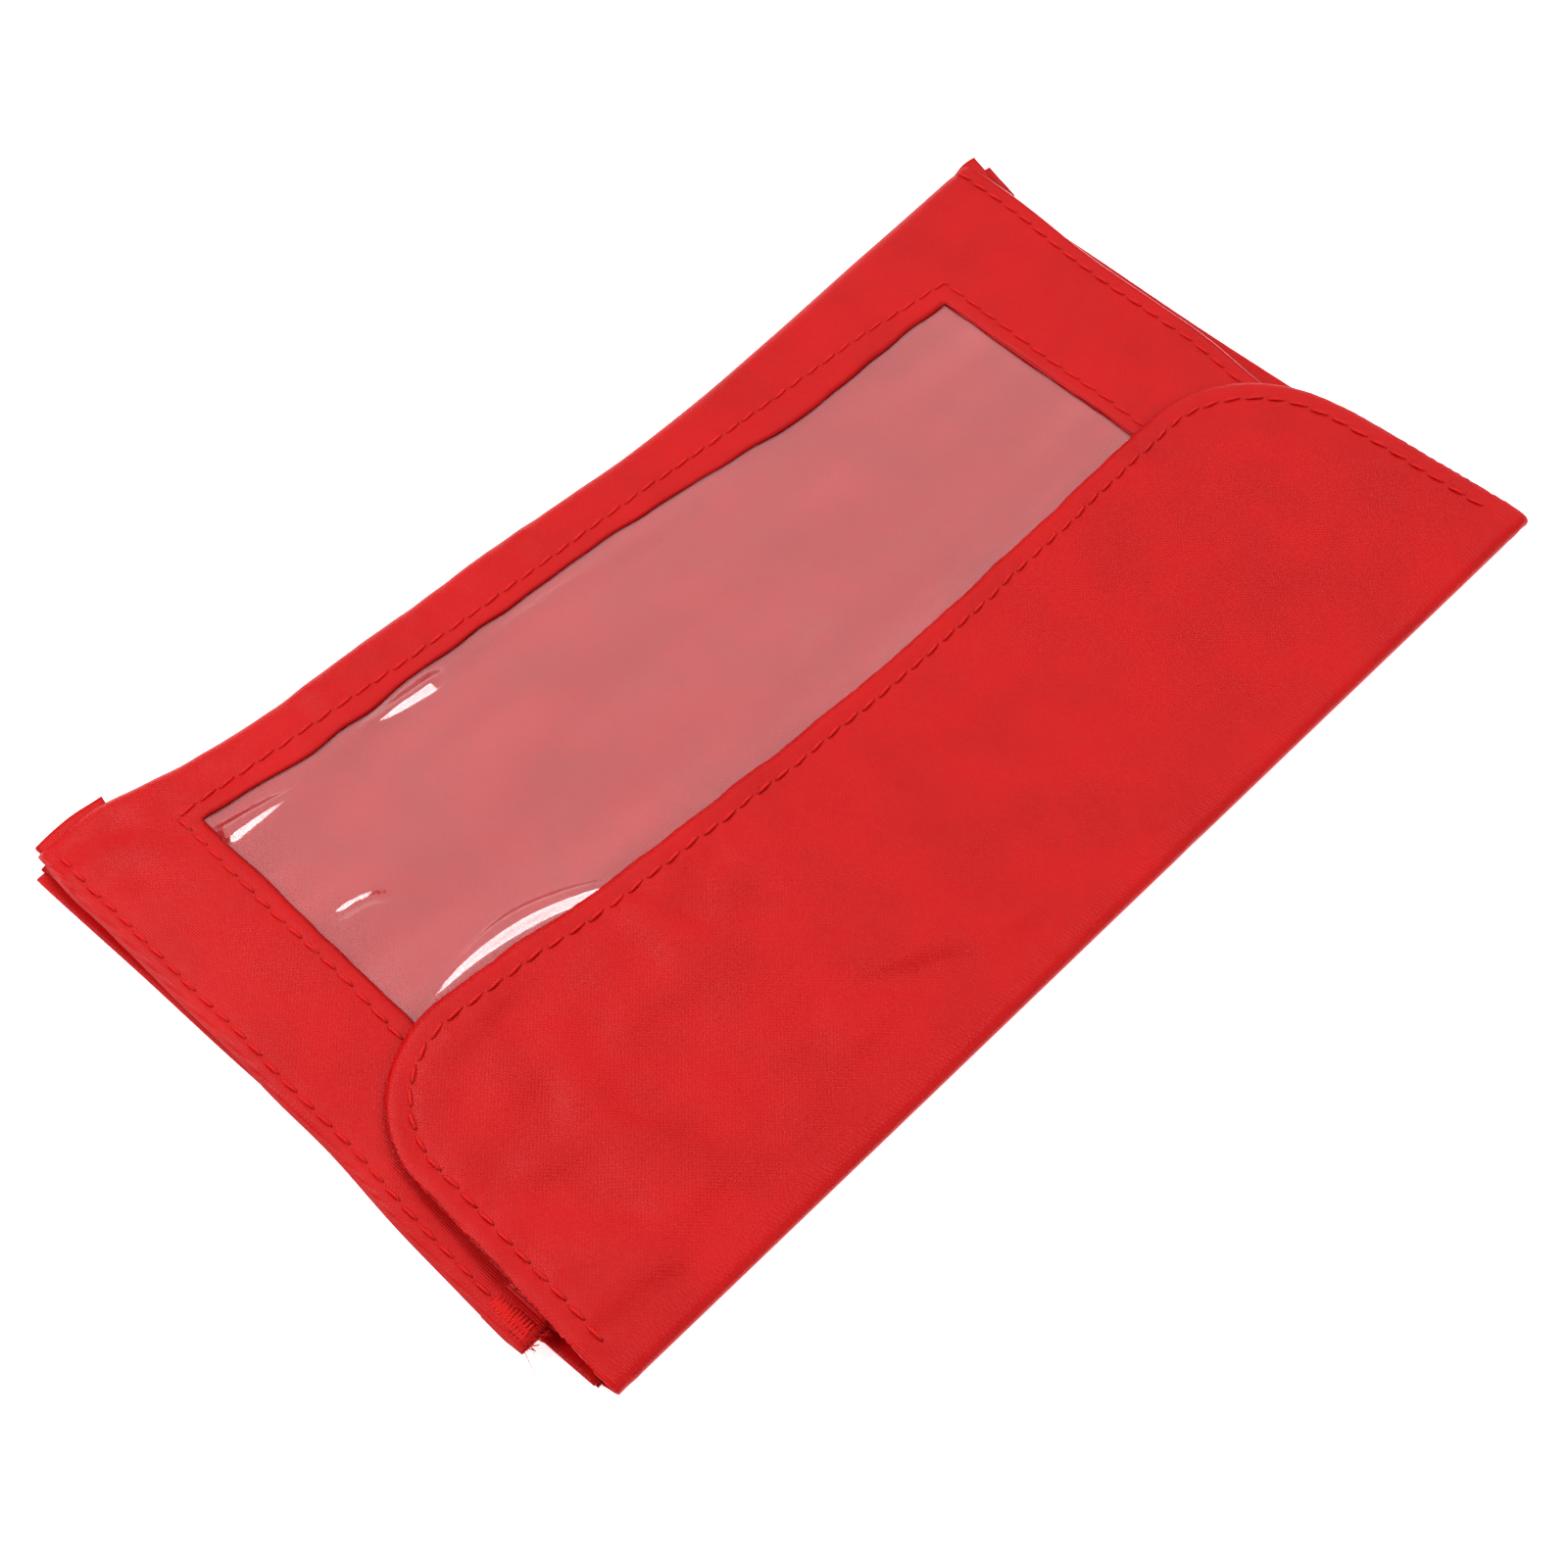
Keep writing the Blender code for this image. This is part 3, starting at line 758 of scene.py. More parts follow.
@dataclass
class FrontCloth:
    """The front panel with its window cut out, and the bottom edge where the same cloth turns under."""

    lie: Lie
    columns: tuple[int, int, int] = (22, 150, 28)
    rows: tuple[int, int, int] = (27, 58, 16)
    fold_rows: int = 12

    def spread(self, lines: Sequence[np.ndarray], counts: tuple[int, int, int]) -> np.ndarray:
        """Positions that run evenly through four lines, with counts cells between each two, on a new last axis."""
        parts = [
            a[..., None] + (b - a)[..., None] * np.linspace(0, 1, n + 1)[:-1]
            for a, b, n in zip(lines, lines[1:], counts)
        ]
        return np.concatenate(parts + [lines[-1][..., None]], -1)

    def build(self) -> bpy.types.Object:
        """Makes the sheet.

        Columns and rows follow the sewn edges and the window's cut edges, height comes from Lie.front_z, the sides
        roll down over a 1 mm radius, the window's cut edges are pressed down to the film, both stitch rows press a
        groove with a dip at each needle hole, and past the last row the cloth goes round a half ellipse to the back.

        Returns:
            The front cloth.
        """
        lie = self.lie
        across = self.spread(np.array([-126.0, -99.5, 89.0, 121.0]), self.columns)
        flat = np.zeros_like(across)
        rows = (
            lie.mouth - 0.6 * ease((-across - 95) / 30),
            flat + lie.cut_mouth,
            along(across, lie.cut_bottom) + ripples(across, flat, 31, 15, 0.34),
            along(across, lie.bottom) - 2.9,
        )
        y = self.spread(rows, self.rows).T
        left, right = lie.edge(Side.LEFT, y), lie.edge(Side.RIGHT, y)
        cut_l = along(y, lie.cut_left) + ripples(y, 0 * y, 33, 8, 0.10)
        cut_r = along(y, lie.cut_right) + ripples(y, 0 * y, 34, 8, 0.10)
        share = self.spread(np.arange(4.0), self.columns)
        spans = [
            left + (cut_l - left) * share,
            cut_l + (cut_r - cut_l) * (share - 1),
            cut_r + (right - cut_r) * (share - 2),
        ]
        x = np.choose(np.clip(share.astype(int), 0, 2)[None] + np.zeros(y.shape, int), spans)
        cut_row = y[self.rows[0] + self.rows[1]]
        away = np.maximum.reduce([cut_l - x, x - cut_r, y - cut_row, lie.cut_mouth - y])
        z = self.sewn(x, y, lie.front_z(x, y)) - 0.33 * np.clip(1 - away / 1.3, 0, 1) ** 2
        turn = np.linspace(0, math.pi, self.fold_rows + 1)[1:, None]
        half = (z[-1] - 0.42) / 2
        tucked = 3.2 * (1 - np.cos(turn / 2)) * (ease((-x[-1] - 114) / 8) - 0.6 * ease((x[-1] - 116) / 8))
        under = np.stack([x[-1] + tucked, y[-1] + 2.9 * np.sin(turn), 0.42 + half * (1 + np.cos(turn))], -1)
        points = np.concatenate([np.stack([x, y, z], -1), under])
        uv = np.concatenate([np.stack([x, y], -1), np.stack([x[-1] + 0 * turn, y[-1] + turn * 3.0], -1)])
        keep = np.ones((points.shape[0] - 1, points.shape[1] - 1), bool)
        a, b = self.columns[0], self.rows[0]
        keep[b : b + self.rows[1], a : a + self.columns[1]] = False
        piece = cloth("front_cloth", points, lie.cloth, uv, keep)
        settle(piece, TWILL, Mover.FRONT_CLOTH, "front_panel", "bottom_fold")
        return piece

    def sewn(self, x: np.ndarray, y: np.ndarray, z: np.ndarray) -> np.ndarray:
        """Adds the rolled sides and the stitch rows' grooves to the heights.

        Args:
            x, y, z: the cloth's grid in mm.

        Returns:
            The new heights in mm.
        """
        lie = self.lie
        for side, inset in ((Side.LEFT, lie.seam_inset[0]), (Side.RIGHT, lie.seam_inset[1])):
            depth = np.abs(lie.edge(side, y) - x)
            roll = np.clip(1.0 - depth / 1.1, 0, 1)
            z = z - 1.1 * (1 - np.sqrt(np.clip(1 - roll**2, 0, 1)))
            hole = 0.7 + 0.3 * np.cos(2 * math.pi * y / PITCH)
            z = z - 0.30 * hole * np.exp(-(((depth - inset) / 0.9) ** 2)) + 0.14 * np.exp(-(((depth - 1.4) / 0.9) ** 2))
        gap, place = near(lie.window_path(), x, y)
        return z - 0.16 * (0.6 + 0.4 * np.cos(2 * math.pi * place / PITCH)) * np.exp(-((gap / 1.1) ** 2))


@dataclass
class Window:
    """The clear film behind the window, slack and buckled along its edges."""

    lie: Lie
    left: float = -109.5
    right: float = 97.0
    mouth: float = -27.0
    bottom: float = 62.5
    thick: float = 0.3
    # creases: line, width and height in mm, and sharpness where it isn't the usual one
    creases: tuple = (
        (((-99, 55), (-79, 52.1), (-45, 51.1), (-20, 49.6), (0, 48.3), (26, 47.0)), 2.4, 0.26, 1.3),
        (((-101, 25.4), (-91, 24.2), (-88.3, 23.4), (-82, 17.6)), 1.1, -0.42, 2.5),
        (((0, -6), (21.8, -3.2), (36.4, -2.2), (49.6, -3.6), (63.4, -2.2), (80, -4.5)), 2.6, -0.5, 1.5),
        (((1, 9.4), (10, 7.6), (17.5, 6.5)), 0.9, -0.22, 1.5),
        (((-60, 40), (-20, 33), (30, 30)), 7, 0.16),
        (((-70, 22), (-30, 18), (10, 20)), 6, -0.14),
        (((20, 24), (50, 17), (84, 14)), 6, 0.16),
    )
    # buckles: line, half width along it and height in mm; the last one reaches past the cut edges
    buckles: tuple = (
        (
            ((-68.5, 52.9), (-56, 52.2), (-44.5, 50.8)),
            ((-68.5, 0), (-62, 1.8), (-52, 3.0), (-47, 2.5), (-44.5, 0)),
            0.62,
        ),
        (
            ((-101, 0.4), (-88, 2.6), (-80, 2.8), (-72.5, 1.9), (-62, -1.6), (-52, -6.5)),
            ((-101, 0), (-88, 1.4), (-78, 2.6), (-68, 2.8), (-58, 1.9), (-52, 0)),
            0.66,
        ),
        (((-102, 51.6), (-90, 51.0), (-79, 50.2)), ((-102, 3.4), (-96, 2.9), (-88, 1.9), (-79, 0)), 0.75),
    )

    def buckle(self, x: np.ndarray, y: np.ndarray, spine: Knots, half: Knots, height: float) -> np.ndarray:
        """A leaf-shaped buckle: it climbs gently from the mouth's side to its spine and drops steeply past it.

        Args:
            x, y: plan positions in mm.
            spine: (x, y) points of its line.
            half: (x, half width) pairs, 0 at its tips.
            height: in mm where it is 3 mm wide to each side.

        Returns:
            Heights in mm.
        """
        wide = along(x, half).clip(1e-3)
        off = (y - along(x, spine)) / wide
        return height * (wide / 3).clip(0, 1.1) * np.minimum(ease(off + 1), ease((1 - off) / 0.5))

    def height(self, x: np.ndarray, y: np.ndarray) -> np.ndarray:
        """Film height: just under the front cloth at its edges, with buckles and creases further in.

        Args:
            x, y: plan positions in mm.

        Returns:
            Heights in mm.
        """
        lie = self.lie
        base = lie.front_z(x, y, 0.25) - 0.46
        from_left, from_bottom = x - along(y, lie.cut_left), along(x, lie.cut_bottom) - y
        inside = ease(from_left / 6) * ease((along(y, lie.cut_right) - x) / 6)
        inside = inside * ease(from_bottom / 3.5) * ease((y - lie.cut_mouth) / 6)
        bubble, rising, wedge = (self.buckle(x, y, *shape) for shape in self.buckles)
        creases = sum(ridge(x, y, *crease) for crease in self.creases)
        slack = ripples(x, y, 21, 34, 0.10, 2.4) + ripples(x, y, 22, 13, 0.018, 2.2)
        wedge = wedge * ease((from_bottom + 1.0) / 2.5) * ease((from_left + 1.5) / 3)
        return base + inside * (bubble + rising + creases + slack) + wedge

    def build(self) -> bpy.types.Object:
        """Makes the film as a grid with its height from Window.height."""
        columns, rows = int((self.right - self.left) / 0.9), int((self.bottom - self.mouth) / 0.6)
        x, y = np.meshgrid(np.linspace(self.left, self.right, columns), np.linspace(self.mouth, self.bottom, rows))
        y = np.minimum(y, along(x, self.lie.bottom) - 4.5)
        piece = cloth("window_sheet", np.stack([x, y, self.height(x, y)], -1), self.thick)
        return settle(piece, FILM, Mover.FRONT_CLOTH, "window_film")


@dataclass
class BackBody:
    """The back cloth, with the folded seam strip on each side."""

    lie: Lie
    half_width: float = 124.3
    mouth: float = -67.0
    seam_width: float = 4.7
    seam_height: float = 1.1
    thread_inset: float = 3.2
    gap: float = 1.7

    def edge(self, side: Side, y: np.ndarray) -> np.ndarray:
        """X of the back's sewn edge, nearly straight."""
        return side.value * (self.half_width + ripples(y, 0 * y, 40 + side.value, 60, 0.35))

    def build(self) -> bpy.types.Object:
        """Makes the back cloth and its seams.

        Its edges lie flat, a little lifted over the thread underneath, and under the window it arches up to gap below
        the front.

        Returns:
            The back cloth.
        """
        u, v = np.meshgrid(np.linspace(-1, 1, 181), np.linspace(0, 1, 96))
        y = self.mouth + v * (along(self.half_width * u, self.lie.bottom) - 2.9 - self.mouth)
        x = np.where(u < 0, -u * self.edge(Side.LEFT, y), u * self.edge(Side.RIGHT, y))
        depth = self.half_width - np.abs(x)
        z = 0.26 + 0.34 * np.exp(-(((depth - self.thread_inset) / 0.9) ** 2))
        z = z + 0.12 * (1 + ripples(x, y, 12, 38, 0.9, 1.6)).clip(0, 2) * ease(depth / 12)
        under = ease((depth - 14) / 10) * ease((y + 52) / 22) * ease((along(x, self.lie.bottom) - 4 - y) / 8)
        rim = np.minimum(np.abs(y - along(x, self.lie.cut_bottom)), np.abs(x - along(y, self.lie.cut_right)))
        z += under * (self.lie.front_z(x, y, 0.25) - self.gap + 0.6 * np.exp(-((rim / 3.5) ** 2)) - z)
        piece = cloth("back_cloth", np.stack([x, y, z], -1), self.lie.cloth)
        settle(piece, TWILL, Mover.POUCH, "back_panel")
        for side in Side:
            self.build_seam(side)
        return piece

    def build_seam(self, side: Side) -> None:
        """Makes one side's folded strip on the back cloth, and the thread row that shows underneath.

        Args:
            side: which side.
        """
        y = np.linspace(self.mouth + 0.4, 70.2, 120)
        x = self.edge(side, y) - side.value * (self.seam_width / 2 - 0.5)
        path = np.stack([x, y, 0.5 + self.seam_height / 2 + 0 * y], 1)
        profile = rounded(self.seam_width, self.seam_height, 18)
        strip = swept(f"{side.word}_back_seam_strip", path, profile, (1, 0, 0), 0.05)
        settle(strip, TWILL, Mover.POUCH, f"{side.word}_back_seam")
        low = np.stack([self.edge(side, y) - side.value * self.thread_inset, y, 0 * y + 0.34], 1)
        stitch = Stitch(width=0.5, rise=0.2, dive=0.14)
        settle(stitch.row(f"{side.word}_back_thread", low, up=-1.0, seed=50 + side.value), THREAD, Mover.POUCH)


@dataclass
class SideJoin:
    """One side of the pouch: the front's folded seam, the gusset inside it, the ear at the bottom and the thread."""

    lie: Lie
    back: BackBody
    side: Side
    seam_width: float = 4.3
    seam_height: float = 1.25
    tuck: float = 10.0
    gusset_run: tuple[float, float] = (-53.5, 63.5)

    def build(self) -> None:
        """Makes this side's pieces in order, from the outside in."""
        lie, side = self.lie, self.side
        y = np.linspace(66.0, lie.mouth - (0.4 if side is Side.LEFT else 0.0), 120)
        x = lie.edge(side, y, self.seam_width / 2 + 0.15)
        path = np.stack([x, y, lie.front_z(x, y) - 0.25 - self.seam_height / 2], 1)
        profile = rounded(self.seam_width, self.seam_height, 18)
        strip = swept(f"{side.word}_front_seam_strip", path, profile, (1, 0, 0), 0.06)
        settle(strip, TWILL, Mover.FRONT_CLOTH, f"{side.word}_front_seam")
        row = Stitch().row(f"{side.word}_seam_thread", lie.seam_path(side), seed=60 + side.value)
        settle(row, THREAD, Mover.FRONT_CLOTH, f"{side.word}_seam_stitching")
        self.build_gusset()
        self.build_ear()
        self.build_tack()

    def build_gusset(self) -> None:
        """Makes the gusset: across the side it goes in from the back seam to its fold and out again to the front seam.

        The way in and out is the tuck times one minus the distance from the middle, rounded at the fold.
        """
        lie, side = self.lie, self.side
        y, s = np.meshgrid(np.linspace(*self.gusset_run, 96), np.linspace(-1, 1, 17), indexing="ij")
        inner, outer = self.back.edge(side, y) - side.value * self.back.thread_inset, lie.edge(side, y, 2.8)
        share = (s + 1) / 2
        top = lie.front_z(outer, y) - 1.35
        pull = self.tuck * (1 - np.sqrt(s * s * (1 - FOLD_ROUND) + FOLD_ROUND)) / (1 - math.sqrt(FOLD_ROUND))
        pull = pull * (1 + ripples(y, 4 * s, 70 + side.value, 30, 0.12))
        x = inner + (outer - inner) * share - side.value * pull
        z = 1.25 + (top - 1.25) * share + 0.12 * ripples(y, 3 * s, 72 + side.value, 16, 1.0)
        if side is Side.LEFT:
            y, x, z = y[::-1], x[::-1], z[::-1]
        flat = np.stack([s * self.tuck, y], -1)
        piece = cloth(f"{side.word}_gusset", np.stack([x, y, z], -1), 0.4, flat)
        settle(piece, TWILL, Mover.GUSSET, f"{side.word}_lower_gusset", f"{side.word}_upper_gusset")

    def build_ear(self) -> None:
        """Makes the seam's spare cloth that sticks out at the closed corner: a small bent patch of two plies.

        The patch is the mean of its four corners weighted by the two parameters, with a slight curl.
        """
        corners = {
            Side.LEFT: ((-120.6, 66.0, 2.7), (-108.0, 66.0, 2.6), (-105.9, 74.6, 2.7), (-121.2, 74.2, 3.0)),
            Side.RIGHT: ((113.0, 63.0, 2.7), (124.6, 61.2, 2.9), (127.0, 70.2, 3.0), (119.6, 69.4, 2.5)),
        }[self.side]
        u, v = np.meshgrid(np.linspace(0, 1, 16), np.linspace(0, 1, 13))
        a, b, c, d = (np.array(p, float) for p in corners)
        u, v = u[..., None], v[..., None]
        points = a * (1 - u) * (1 - v) + b * u * (1 - v) + c * u * v + d * (1 - u) * v
        curl = 0.25 * np.sin(3.1 * u[..., 0]) * v[..., 0]
        points[..., 2] += curl + ripples(points[..., 0], points[..., 1], 81, 9, 0.10)
        points[..., 1] += 0.5 * np.sin(math.pi * u[..., 0]) * v[..., 0]
        piece = cloth(f"{self.side.word}_corner_ear", points, 1.0)
        settle(piece, TWILL, Mover.FRONT_CLOTH, f"{self.side.word}_seam_ear")
        low = points - [0, 0, 1.5]
        low[..., 0] += self.side.value * np.array([1.6])
        low[..., 1] -= 3.2
        low[..., 2] = np.clip(low[..., 2], 1.0, 2.2)
        lower = cloth(f"{self.side.word}_lower_ear", low, 0.6)
        settle(lower, TWILL, Mover.POUCH)

    def build_tack(self) -> None:
        """Makes the bar of close stitches over the seam's mouth end, and on the left the frayed end below it."""
        lie, side = self.lie, self.side
        y = np.linspace(lie.mouth + 8.5, lie.mouth + 0.5, 12)
        outer, inner = lie.edge(side, y, 0.6), lie.edge(side, y, 5.0)
        there = np.stack([outer, y, lie.front_z(outer, y) + 0.05], 1)
        back = np.stack([inner, y - 0.35, lie.front_z(inner, y) + 0.25], 1)
        run = resampled(np.stack([there, back], 1).reshape(-1, 3), 4.4)[0]
        stitch = Stitch(pitch=4.4, gap=0.1, width=0.55, skew=0.05)
        bar = stitch.row(f"{side.word}_mouth_tack", run, seed=90 + side.value)
        settle(bar, THREAD, Mover.FRONT_CLOTH, f"{side.word}_mouth_bartack")
        if side is Side.RIGHT:
            return
        rng = np.random.default_rng(7)
        end = np.linspace(-129.2, -120.5, 34)
        roots = np.stack([end, -54.8 + rng.uniform(-0.4, 0.4, 34), 4.6 + rng.uniform(-0.9, 0.3, 34)], 1)
        aims = np.stack([rng.uniform(-0.5, 0.3, 34), -1 + 0 * end, rng.uniform(-0.5, 0.15, 34)], 1)
        settle(fibres("left_mouth_fray", roots, aims, (0.8, 2.6), 0.13, 8), THREAD, Mover.FRONT_CLOTH)
        bend = np.array([(-129.0, -46.0, 3.9), (-129.2, -51.5, 3.6), (-128.9, -55.3, 3.5)], float)
        bend = resampled(bend, 0.8)[0] + [3.4, 0, 0]
        doubled = swept("left_seam_end", bend, rounded(8.4, 1.2, 16), (1, 0, 0.03), 0.12)
        settle(doubled, TWILL, Mover.FRONT_CLOTH)


@dataclass
class MouthHem:
    """The turned hem along the front's mouth and its thread; the loop tape below it is built as a Tape."""

    lie: Lie
    width: float = 9.0
    height: float = 1.0

    def build(self) -> None:
        """Makes the hem strip and its stitch row."""
        lie = self.lie
        x = np.linspace(-124.0, 114.0, 160)
        y = lie.mouth + self.width / 2 + 0.4 - 0.4 * ease((-x - 95) / 30)
        path = np.stack([x, y, lie.front_z(x, y) + 0.25], 1)
        hem = swept("mouth_hem_strip", path, rounded(self.width, self.height, 20), (0, 1, 0), 0.04)
        settle(hem, TWILL, Mover.FRONT_CLOTH, "mouth_hem")
        row = path + [0, self.width / 2 - 1.5, self.height / 2 - 0.02]
        settle(Stitch().row("hem_thread", row, seed=15), THREAD, Mover.FRONT_CLOTH, "hem_stitching")


@dataclass
class Tape:
    """One half of the hook and loop closure: a woven strip with its pile."""

    lie: Lie
    node: str
    half_length: float = 60.0
    low: float = -43.0
    high: float = -27.0

    def build(self, base: np.ndarray | float, up: float, mover: Mover, loops: bool) -> None:
        """Makes the strip and its pile of small loops or hooks.

        Each loop is a half circle of thread and each hook the first two thirds of one.

        Args:
            base: height of the strip's middle in mm.
            up: 1 if the pile stands up, -1 if it hangs down.
            mover: what it moves with.
            loops: True for loops, False for hooks.
        """
        x, y = np.meshgrid(np.linspace(-self.half_length, self.half_length, 81), np.linspace(self.low, self.high, 13))
        z = base + 0.05 * ripples(x, y, 61, 12, 1.0)
        strip = cloth(f"{self.node}_strip", np.stack([x, y, z], -1), 0.35)
        settle(strip, PILE, mover, self.node)
        rng = np.random.default_rng(17 if loops else 18)
        px, py = np.meshgrid(np.arange(-58.5, 59, 1.9), np.arange(self.low + 1.3, self.high - 1, 1.5))
        px, py = (v.ravel() + rng.uniform(-0.35, 0.35, v.size) for v in (px, py))
        arc = np.linspace(0, math.pi * (1.0 if loops else 0.68), 6)
        aim = rng.uniform(0, 2 * math.pi, px.size) if loops else np.zeros(px.size)
        out = 0.42 * (1 - np.cos(arc))
        px, py = (v[:, None] + way(aim)[:, None] * out for v, way in ((px, np.cos), (py, np.sin)))
        rise = np.mean(base) + up * (0.12 + 0.34 * np.sin(arc))
        centre = np.stack([px, py, np.broadcast_to(rise, px.shape)], -1)
        turn = np.linspace(0, 2 * math.pi, 4, endpoint=False)
        ring = 0.09 * np.stack([np.cos(turn), np.sin(turn), np.sin(turn)], -1)
        pile = tubes(f"{self.node}_pile", centre[:, :, None] + ring[None, None])
        settle(pile, PILE, mover)


@dataclass
class Flap:
    """The closing flap: outer cloth with the fold at its root, lining, thread round its edge and a little fuzz."""

    lie: Lie
    root: float = -67.35
    radius: float = 6.3
    level: float = 8.55
    reach: float = 0.46
    left_corner: tuple[float, float, float] = (-97.0, -26.0, 25.0)
    right_corner: tuple[float, float, float] = (94.5, -31.5, 27.0)
    free: Knots = ((-97, -1.0), (-80, -2.2), (-64, -4.0), (-28, -6.2), (10, -7.4), (54, -6.3), (80, -5.0), (94.5, -4.5))
    flare: float = 0.027
    # soft creases pressed in by packing: line, width and height
    creases: tuple = (
        (((-60, -6), (-58.7, -22), (-57.5, -40)), 3.2, 1.38),
        (((18, -58), (19.8, -66), (20.5, -70)), 2.2, 1.01),
        (((-52, -38), (-22, -53.7), (6, -67)), 4.3, 0.84),
        (((-86, -14), (-92.8, -35.8), (-91.3, -50), (-83, -64)), 4.0, 1.12),
        (((-112.5, -49), (-107.6, -58), (-100, -68)), 2.2, 1.12),
        (((-108, -9), (-96.6, -7), (-80, -7)), 3.2, 0.84),
        (((-113, -33), (-105, -45), (-98, -57)), 2.5, -1.01),
        (((-46, -49), (-35.6, -56), (-23, -63)), 2.5, -0.93),
        (((-50.7, -15), (-38, -14)), 2.9, -0.84),
        (((-74, -22), (-72, -40), (-66, -56)), 4.3, -0.84),
    )
    middle_columns: int = 160
    rows: int = 58

    def free_edge(self, count: int, inset: float = 0.0) -> np.ndarray:
        """The free edge with its two round corners as (n, 2) points, from the left side to the right.

        Each corner is a quarter circle, the middle follows the knots, and inset pulls all of it inwards.

        Args:
            count: number of cells along the middle.
            inset: distance inwards in mm.

        Returns:
            The points in mm.
        """
        lx, ly, lr = self.left_corner
        rx, ry, rr = self.right_corner
        turn = np.linspace(math.pi / 2, 0, 25)[:-1]
        left = np.stack([lx - (lr - inset) * np.sin(turn), ly + (lr - inset) * np.cos(turn)], 1)
        x = np.linspace(lx, rx, count)
        waves = ripples(x, 0 * x, 37, 11, 0.16) * ease((x - lx) / 9) * ease((rx - x) / 9)
        middle = np.stack([x, along(x, self.free) + waves - inset], 1)
        right = np.stack([rx + (rr - inset) * np.sin(turn[::-1]), ry + (rr - inset) * np.cos(turn[::-1])], 1)
        return np.concatenate([left, middle, right])

    def spread_sides(self, x: np.ndarray, y: np.ndarray) -> np.ndarray:
        """X widened towards the root by the flap's flare."""
        return x * (1 + self.flare * np.clip((-27 - y) / 40, 0, 1))

    def height(self, x: np.ndarray, y: np.ndarray) -> np.ndarray:
        """Height of the outer cloth's middle.

        Swells and creases lie about a level, held within reach of it by a hyperbolic tangent, and never low over the
        tapes.

        Args:
            x, y: plan positions in mm.

        Returns:
            Heights in mm.
        """
        middle = 8.85
        z = middle + 0.12 * ease((-x - 88) / 34) * ease((-8 - y) / 20) * ease((y + 66) / 12)
        tape_edges = 0.16 * ridge(x, y, [(-70, -43.5), (0, -44), (70, -43.5)], 3.0, 1.0)
        tape_edges = tape_edges + 0.14 * ridge(x, y, [(-70, -27), (0, -27), (70, -27)], 3.0, 1.0)
        z = z - 0.4 * ease((-56 - y) / 11) * (0.3 + 0.7 * ease((20 - x) / 100))
        calm = ease((y - self.root) / 8)
        for line, width, rise in self.creases:
            z = z + ridge(x, y, line, width, rise) * (0.35 + 0.65 * calm)
        swells = ripples(x, y, 25, 52, 0.38, 1.6) + ripples(x, y, 26, 21, 0.16, 1.3)
        swells = swells + ease((10 - x) / 60) * ripples(x, y, 27, 16, 0.34, 1.2)
        z = z + calm * (swells + tape_edges)
        z = self.level + self.reach * np.tanh((z - middle) / self.reach)
        tape = ease((66 - np.abs(x)) / 8) * ease((-22 - y) / 6) * ease((y + 48) / 6)
        return z + tape * (np.maximum(z, self.level + 0.19) - z)

    def stitch_line(self, inset: float = 4.0) -> np.ndarray:
        """The thread's line as (n, 2) points: up the left side, round the free edge and down the right side."""
        edge = self.free_edge(60, inset)
        rise = np.linspace(self.root - 0.5, edge[0, 1], 30)[:-1]
        left = np.stack([edge[0, 0] + 0 * rise, rise], 1)
        rise = np.linspace(self.root - 0.5, edge[-1, 1], 30)[:-1][::-1]
        right = np.stack([edge[-1, 0] + 0 * rise, rise], 1)
        line = np.concatenate([left, edge, right])
        line[:, 0] = self.spread_sides(line[:, 0], line[:, 1])
        return line

    def grid(self, inset: float) -> tuple[np.ndarray, np.ndarray]:
        """Plan grid of the flap's flat part, rows from the root to the free edge."""
        edge = self.free_edge(self.middle_columns, inset)
        v = np.linspace(0, 1, self.rows)[:, None]
        y = self.root + (edge[None, :, 1] - self.root) * v
        return self.spread_sides(edge[None, :, 0] + 0 * v, y), y

    def build(self) -> None:
        """Makes the outer cloth, the lining, the thread row and the fuzz at the left corner.

        The outer cloth's flat part takes its height from Flap.height, with its rim rolled down and a groove under the
        thread; before the root it comes round from the back panel's edge on a squared half circle that leans out
        towards its top.
        """
        x, y = self.grid(0.0)
        line, rim = self.stitch_line(), self.rim()
        gap, place = near(line, x, y)
        depth = near(rim, x, y)[0]
        z = self.height(x, y) + 0.12 * np.exp(-(((depth - 1.6) / 1.2) ** 2))
        z -= (0.20 + 0.13 * np.cos(2 * math.pi * place / PITCH)) * np.exp(-((gap / 1.0) ** 2))
        pucker = np.sin(math.pi * place / PITCH + 2.2 * np.sin(place / 11)) * np.exp(-gap / 4.5)
        pucker = pucker * ease((depth - 3.0) / 2.5)
        z += 0.11 * pucker * (0.35 + 0.65 * ease((-x - 40) / 40))
        roll = np.clip(1 - depth / 1.0, 0, 1)
        z -= 0.45 * (1 - np.sqrt(np.clip(1 - roll**2, 0, 1)))
        turn = np.linspace(0, math.pi, 31)[:-1, None]
        half = (z[0] - 0.3) / 2
        round_y = self.root - self.radius * np.sin(turn) ** 0.42 * (0.52 - 0.48 * np.cos(turn))
        round_x = x[0] * (1 - 0.007 * (1 + np.cos(turn)))
        fold = np.stack([round_x, round_y + 0 * x[0], 0.3 + half * (1 - np.cos(turn))], -1)
        tab = np.stack([x[:1] * 0.986, y[:1] + 2.2, 0 * x[:1] + 0.72], -1)
        points = np.concatenate([tab, fold, np.stack([x, y, z], -1)])
        flat_y = np.concatenate([y[:1] - 16, y[0] - 14 + 14 * turn / math.pi, y])
        outer = cloth("flap_cloth", points, self.lie.cloth, np.stack([points[..., 0], flat_y], -1))
        settle(outer, TWILL, Mover.FLAP_CLOTH, "flap_outer", "flap_fold")
        x, y = self.grid(0.35)
